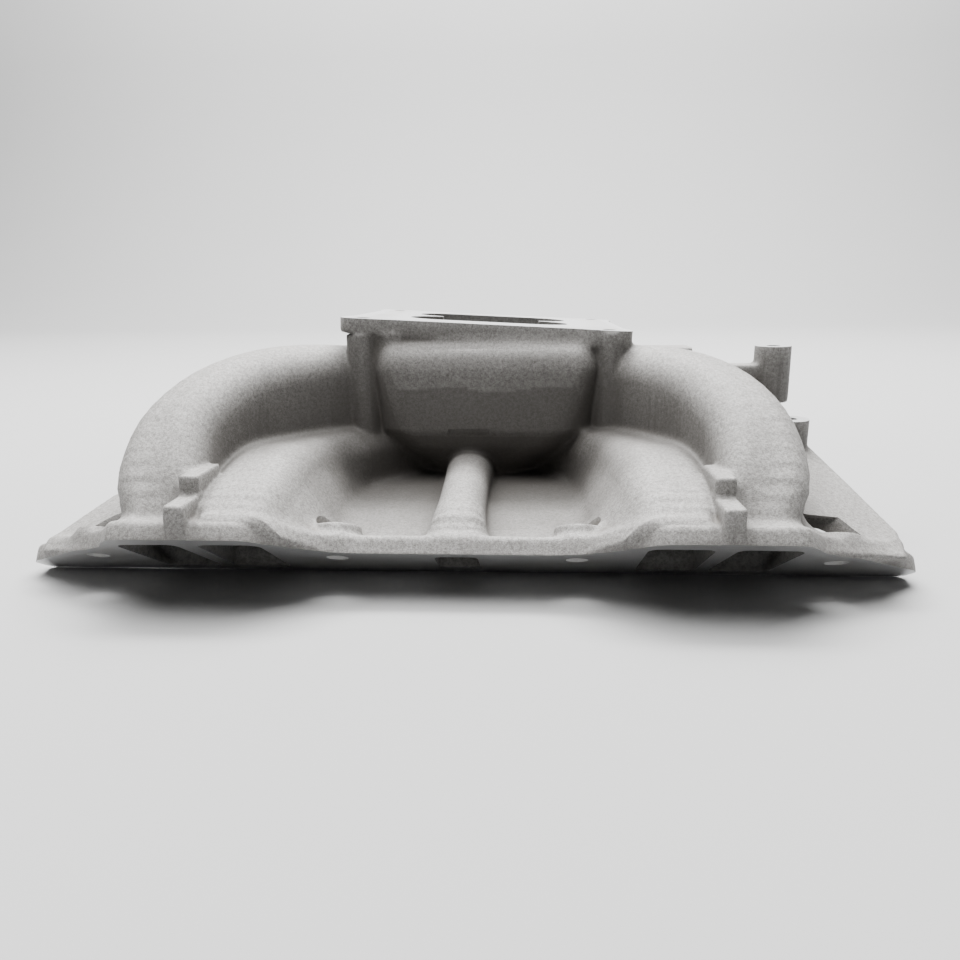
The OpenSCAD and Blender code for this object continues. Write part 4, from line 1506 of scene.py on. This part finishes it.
        found.append(Section(
            "lower_plenum", box("lower", (-66, -80, 8), (84.5, 80, 66)),
            ("lower_plenum", "plenum_exhaust_passage"), cast))
        for bank in Bank:
            side = bank.name.lower()
            for end in (*End, None):
                x0, x1 = (-15.0, 15.0) if end is None else sorted((end.value * 15.0, end.value * 58.0))
                y0, y1 = sorted((bank.value * 80.0, bank.value * 204.0))
                name = f"{side}_heat_crossover" if end is None else f"{side}_{end.name.lower()}_valley_web"
                found.append(Section(name, box(name, (x0, y0, 5), (x1, y1, 60)), (name,), cast))
        found += self.outer_sections(cast)
        return found

    def outer_sections(self, cast: str) -> list[Section]:
        """Lists the sections outside the plenum: lugs, bosses, end webs and runners."""
        found: list[Section] = []
        for bank in Bank:
            for end in End:
                name = f"{bank.name.lower()}_{end.name.lower()}_lug"
                middle = end.value * LUG_X
                ys = sorted((bank.value * 157.0, bank.value * 206.0))
                fin = box(name, (middle - 5.2, ys[0], 40), (middle + 5.2, ys[1], 66))
                found.append(Section(name, fin, (name,), cast))
        up = np.array([0.0, 0.0, 1.0])
        found.append(Section(
            "coil_bracket_boss", rod("coil", np.array([*COIL_BOSS[:2], 72.0]), up, 40.0, 12.6),
            ("coil_bracket_boss",), cast))
        found.append(Section(
            "coil_bracket_arm", box("arm", (106, -46, 68), (184, -20, 108)), ("coil_bracket_arm",), cast))
        found.append(Section(
            "front_accessory_boss", rod("front", np.array([*FRONT_BOSS[:2], 38.0]), up, 34.0, 13.2),
            ("front_accessory_boss",), cast))
        found.append(Section(
            "front_end_web", box("front_web", (165, -204, 2), (230, -40, 100)), ("front_end_web",), cast))
        found.append(Section(
            "rear_end_web", box("rear_web", (-230, -204, 2), (-168, -40, 100)), ("rear_end_web",), cast))
        found.append(Section(
            "vacuum_boss", box("vacuum", (123, 38, 72), (156, 80, 108)), ("vacuum_boss",), cast))
        for bank, end, high, low in (
            (Bank.NEAR, End.FRONT, "runner_1_near_outer_front", "runner_3_near_inner_front"),
            (Bank.NEAR, End.REAR, "runner_7_near_outer_rear", "runner_5_near_inner_rear"),
            (Bank.FAR, End.FRONT, "runner_4_far_inner_front", "runner_2_far_outer_front"),
            (Bank.FAR, End.REAR, "runner_6_far_inner_rear", "runner_8_far_outer_rear"),
        ):
            found.append(Section(high, self.high_region(bank, end), (high,), cast))
            x0, x1 = sorted((end.value * 12.0, end.value * 176.0))
            y0, y1 = sorted((bank.value * 1.0, bank.value * 207.0))
            found.append(Section(low, box("low", (x0, y0, -4), (x1, y1, 126)), (low,), cast))
        return found

    def high_region(self, bank: Bank, end: End) -> bpy.types.Object:
        """Makes the region of one high runner.

        Args:
            bank: Side of the engine.
            end: End of the engine.

        Returns:
            A closed solid.
        """
        ys = sorted((bank.value * 0.5, bank.value * 208.0))
        if bank is Bank.NEAR:
            outline = ((12, 66), (122, 66), (122, -5), (176, -5), (176, 127), (12, 127))
            base = [np.array([end.value * x, ys[0], z], dtype=float) for x, z in outline]
            return prism("high", base, np.array([0.0, ys[1] - ys[0], 0.0]))
        x0, x1 = sorted((end.value * 12.0, end.value * 176.0))
        region = box("high", (x0, 0.5, 66), (x1, 208, 127))
        x0, x1 = sorted((end.value * 12.0, end.value * 122.0))
        combine(region, box("drop", (x0, 115, -5), (x1, 208, 90)), "UNION")
        return region


@dataclass
class PipePlug:
    """Square-drive pipe plug in the vacuum port.

    Attributes:
        face: Centre of the plug's outer end.
        radius: Radius of the thread.
        length: Length of the plug.
        square: Side of the square socket.
        depth: Depth of the socket.
    """

    face: tuple[float, float, float] = (151.0, 58.0, 91.0)
    radius: float = 7.95
    length: float = 11.0
    square: float = 8.0
    depth: float = 7.0

    def build(self) -> bpy.types.Object:
        """Builds and dresses the plug.

        Returns:
            The finished object.
        """
        profile = [(0.0, self.radius - 1.6), (0.5, self.radius - 0.8), (1.3, self.radius - 0.25)]
        for turn in range(int((self.length - 2) / 1.4)):
            start = 1.6 + turn * 1.4
            profile += [
                (start, self.radius), (start + 0.5, self.radius), (start + 0.95, self.radius - 0.55)]
        profile += [(self.length, self.radius - 1.0)]
        sides = 72
        angles = np.linspace(0, 2 * math.pi, sides, endpoint=False)
        centre = np.array(self.face)
        points = [
            centre + np.array([-depth, r * math.cos(a), r * math.sin(a)])
            for depth, r in profile for a in angles
        ]
        faces = [
            [row * sides + k, row * sides + (k + 1) % sides, (row + 1) * sides + (k + 1) % sides,
             (row + 1) * sides + k]
            for row in range(len(profile) - 1) for k in range(sides)
        ]
        last = (len(profile) - 1) * sides
        faces += [list(range(sides))[::-1], list(range(last, last + sides))]
        plug = solid_mesh("vacuum_port_plug", np.array(points), faces)
        half, edge = self.square / 2, 0.9
        turns = {1: (0, 45, 90), -1: (90, 45, 0)}
        ring = [
            (sy * (half - edge + edge * math.cos(a)), sz * (half - edge + edge * math.sin(a)))
            for sy, sz in ((1, 1), (-1, 1), (-1, -1), (1, -1))
            for a in np.radians(turns[sy * sz])
        ]
        base = [centre + np.array([-self.depth, y, z]) for y, z in ring]
        combine(plug, prism("socket", base, np.array([self.depth + 2.0, 0.0, 0.0])), "DIFFERENCE")
        bevel = plug.modifiers.new("edges", "BEVEL")
        bevel.width, bevel.segments, bevel.limit_method = 0.25 * MM, 2, "ANGLE"
        plug.data.materials.append(STEEL_FINISH.material())
        for polygon in plug.data.polygons:
            polygon.use_smooth = False
        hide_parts("vacuum_port_plug")
        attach(plug, BODY)
        return plug


# ---------------------------------------------------------------------- studio


@dataclass
class Studio:
    """Camera, lights and floor.

    Attributes:
        place: Position of the camera, in millimetres.
        yaw: Turn of the camera from +Y, in degrees.
        pitch: Rise of its direction, in degrees.
        roll: Roll, in degrees.
        lens: Focal length.
        sensor: Width of the sensor.
    """

    place: tuple[float, float, float] = (34.1, -514.8, 146.7)
    yaw: float = -3.669
    pitch: float = -14.361
    roll: float = -0.674
    lens: float = 28.5
    sensor: float = 36.0

    def camera(self) -> None:
        """Sets the camera at the object's usual angle."""
        yaw, pitch, roll = (math.radians(a) for a in (self.yaw, self.pitch, self.roll))
        ahead = Vector((
            math.sin(yaw) * math.cos(pitch), math.cos(yaw) * math.cos(pitch), math.sin(pitch)))
        right = Vector((math.cos(yaw), -math.sin(yaw), 0.0))
        above = right.cross(ahead)
        across = math.cos(roll) * right + math.sin(roll) * above
        up = math.cos(roll) * above - math.sin(roll) * right
        data = bpy.data.cameras.new("camera")
        data.lens, data.sensor_width = self.lens, self.sensor
        data.clip_start, data.clip_end = 0.01, 20.0
        camera = bpy.data.objects.new("camera", data)
        turn = Matrix((across, up, -ahead)).transposed().to_4x4()
        camera.matrix_world = Matrix.Translation(Vector(self.place) * MM) @ turn
        bpy.context.scene.collection.objects.link(camera)
        bpy.context.scene.camera = camera

    def panel(self, name: str, place: Sequence[float], aim: Sequence[float], size: Sequence[float],
              power: float) -> None:
        """Adds one soft rectangular light.

        Args:
            name: Name of the light.
            place: Position, in metres.
            aim: Point that it faces.
            size: Width and height.
            power: Power, in watts.
        """
        data = bpy.data.lights.new(name, "AREA")
        data.shape, data.size, data.size_y, data.energy = "RECTANGLE", size[0], size[1], power
        lamp = bpy.data.objects.new(name, data)
        lamp.location = place
        lamp.rotation_euler = (Vector(aim) - Vector(place)).to_track_quat("-Z", "Y").to_euler()
        bpy.context.scene.collection.objects.link(lamp)

    def backdrop(self) -> None:
        """Adds a floor that sweeps up into a backdrop."""
        profile = [(-3.0, 0.0), (2.2, 0.0)]
        profile += [
            (2.2 + 1.2 * math.sin(a), 1.2 - 1.2 * math.cos(a)) for a in np.radians(np.arange(9, 91, 9))
        ]
        profile += [(3.4, 5.0)]
        points = [(x, y, z) for y, z in profile for x in (-5.0, 5.0)]
        faces = [(2 * i, 2 * i + 1, 2 * i + 3, 2 * i + 2) for i in range(len(profile) - 1)]
        mesh = bpy.data.meshes.new("backdrop")
        mesh.from_pydata(points, [], faces)
        for polygon in mesh.polygons:
            polygon.use_smooth = True
        sweep = bpy.data.objects.new("backdrop", mesh)
        paper = bpy.data.materials.new("paper")
        paper.use_nodes = True
        graph = Graph(paper.node_tree)
        place = graph.add("ShaderNodeTexCoord").outputs["Object"]
        fibre = graph.noise(place, 2.0, 2.0, 0.5)
        tone = graph.mix_colours(fibre, (0.33, 0.33, 0.33), (0.345, 0.345, 0.344))
        shader = graph.add("ShaderNodeBsdfPrincipled")
        shader.inputs["Roughness"].default_value = 0.9
        graph.link(tone, shader.inputs["Base Color"])
        output = graph.add("ShaderNodeOutputMaterial")
        graph.link(shader.outputs["BSDF"], output.inputs["Surface"])
        mesh.materials.append(paper)
        bpy.context.scene.collection.objects.link(sweep)

    def light(self) -> None:
        """Adds the soft lights and the white surroundings."""
        self.panel("key", (-0.1, 0.15, 1.4), (0.0, 0.0, 0.05), (2.2, 1.6), 122.0)
        self.panel("sweep", (0.0, 1.3, 3.0), (0.0, 3.1, 0.7), (4.0, 1.6), 620.0)
        world = bpy.data.worlds.new("surroundings")
        world.use_nodes = True
        graph = Graph(world.node_tree)
        glow = graph.add("ShaderNodeBackground")
        glow.inputs["Color"].default_value = (1.0, 1.0, 1.0, 1.0)
        glow.inputs["Strength"].default_value = 0.09
        output = graph.add("ShaderNodeOutputWorld")
        graph.link(glow.outputs["Background"], output.inputs["Surface"])
        bpy.context.scene.world = world

    def build(self) -> None:
        """Sets up the whole studio."""
        self.camera()
        self.backdrop()
        self.light()


def main() -> None:
    """Builds the casting, its plug and the studio."""
    logging.basicConfig(level=logging.INFO, format="%(name)s: %(message)s")
    casting = Casting(1.25)
    manifold = Manifold(casting)
    manifold.shape()
    manifold.machine()
    done: list[Section] = []
    for section in manifold.sections():
        casting.saw(section, done)
        done.append(section)
    PipePlug().build()
    LOG.info("vacuum_port_plug: built")
    Studio().build()
    LOG.info("sizes written")


if __name__ == "__main__":
    main()
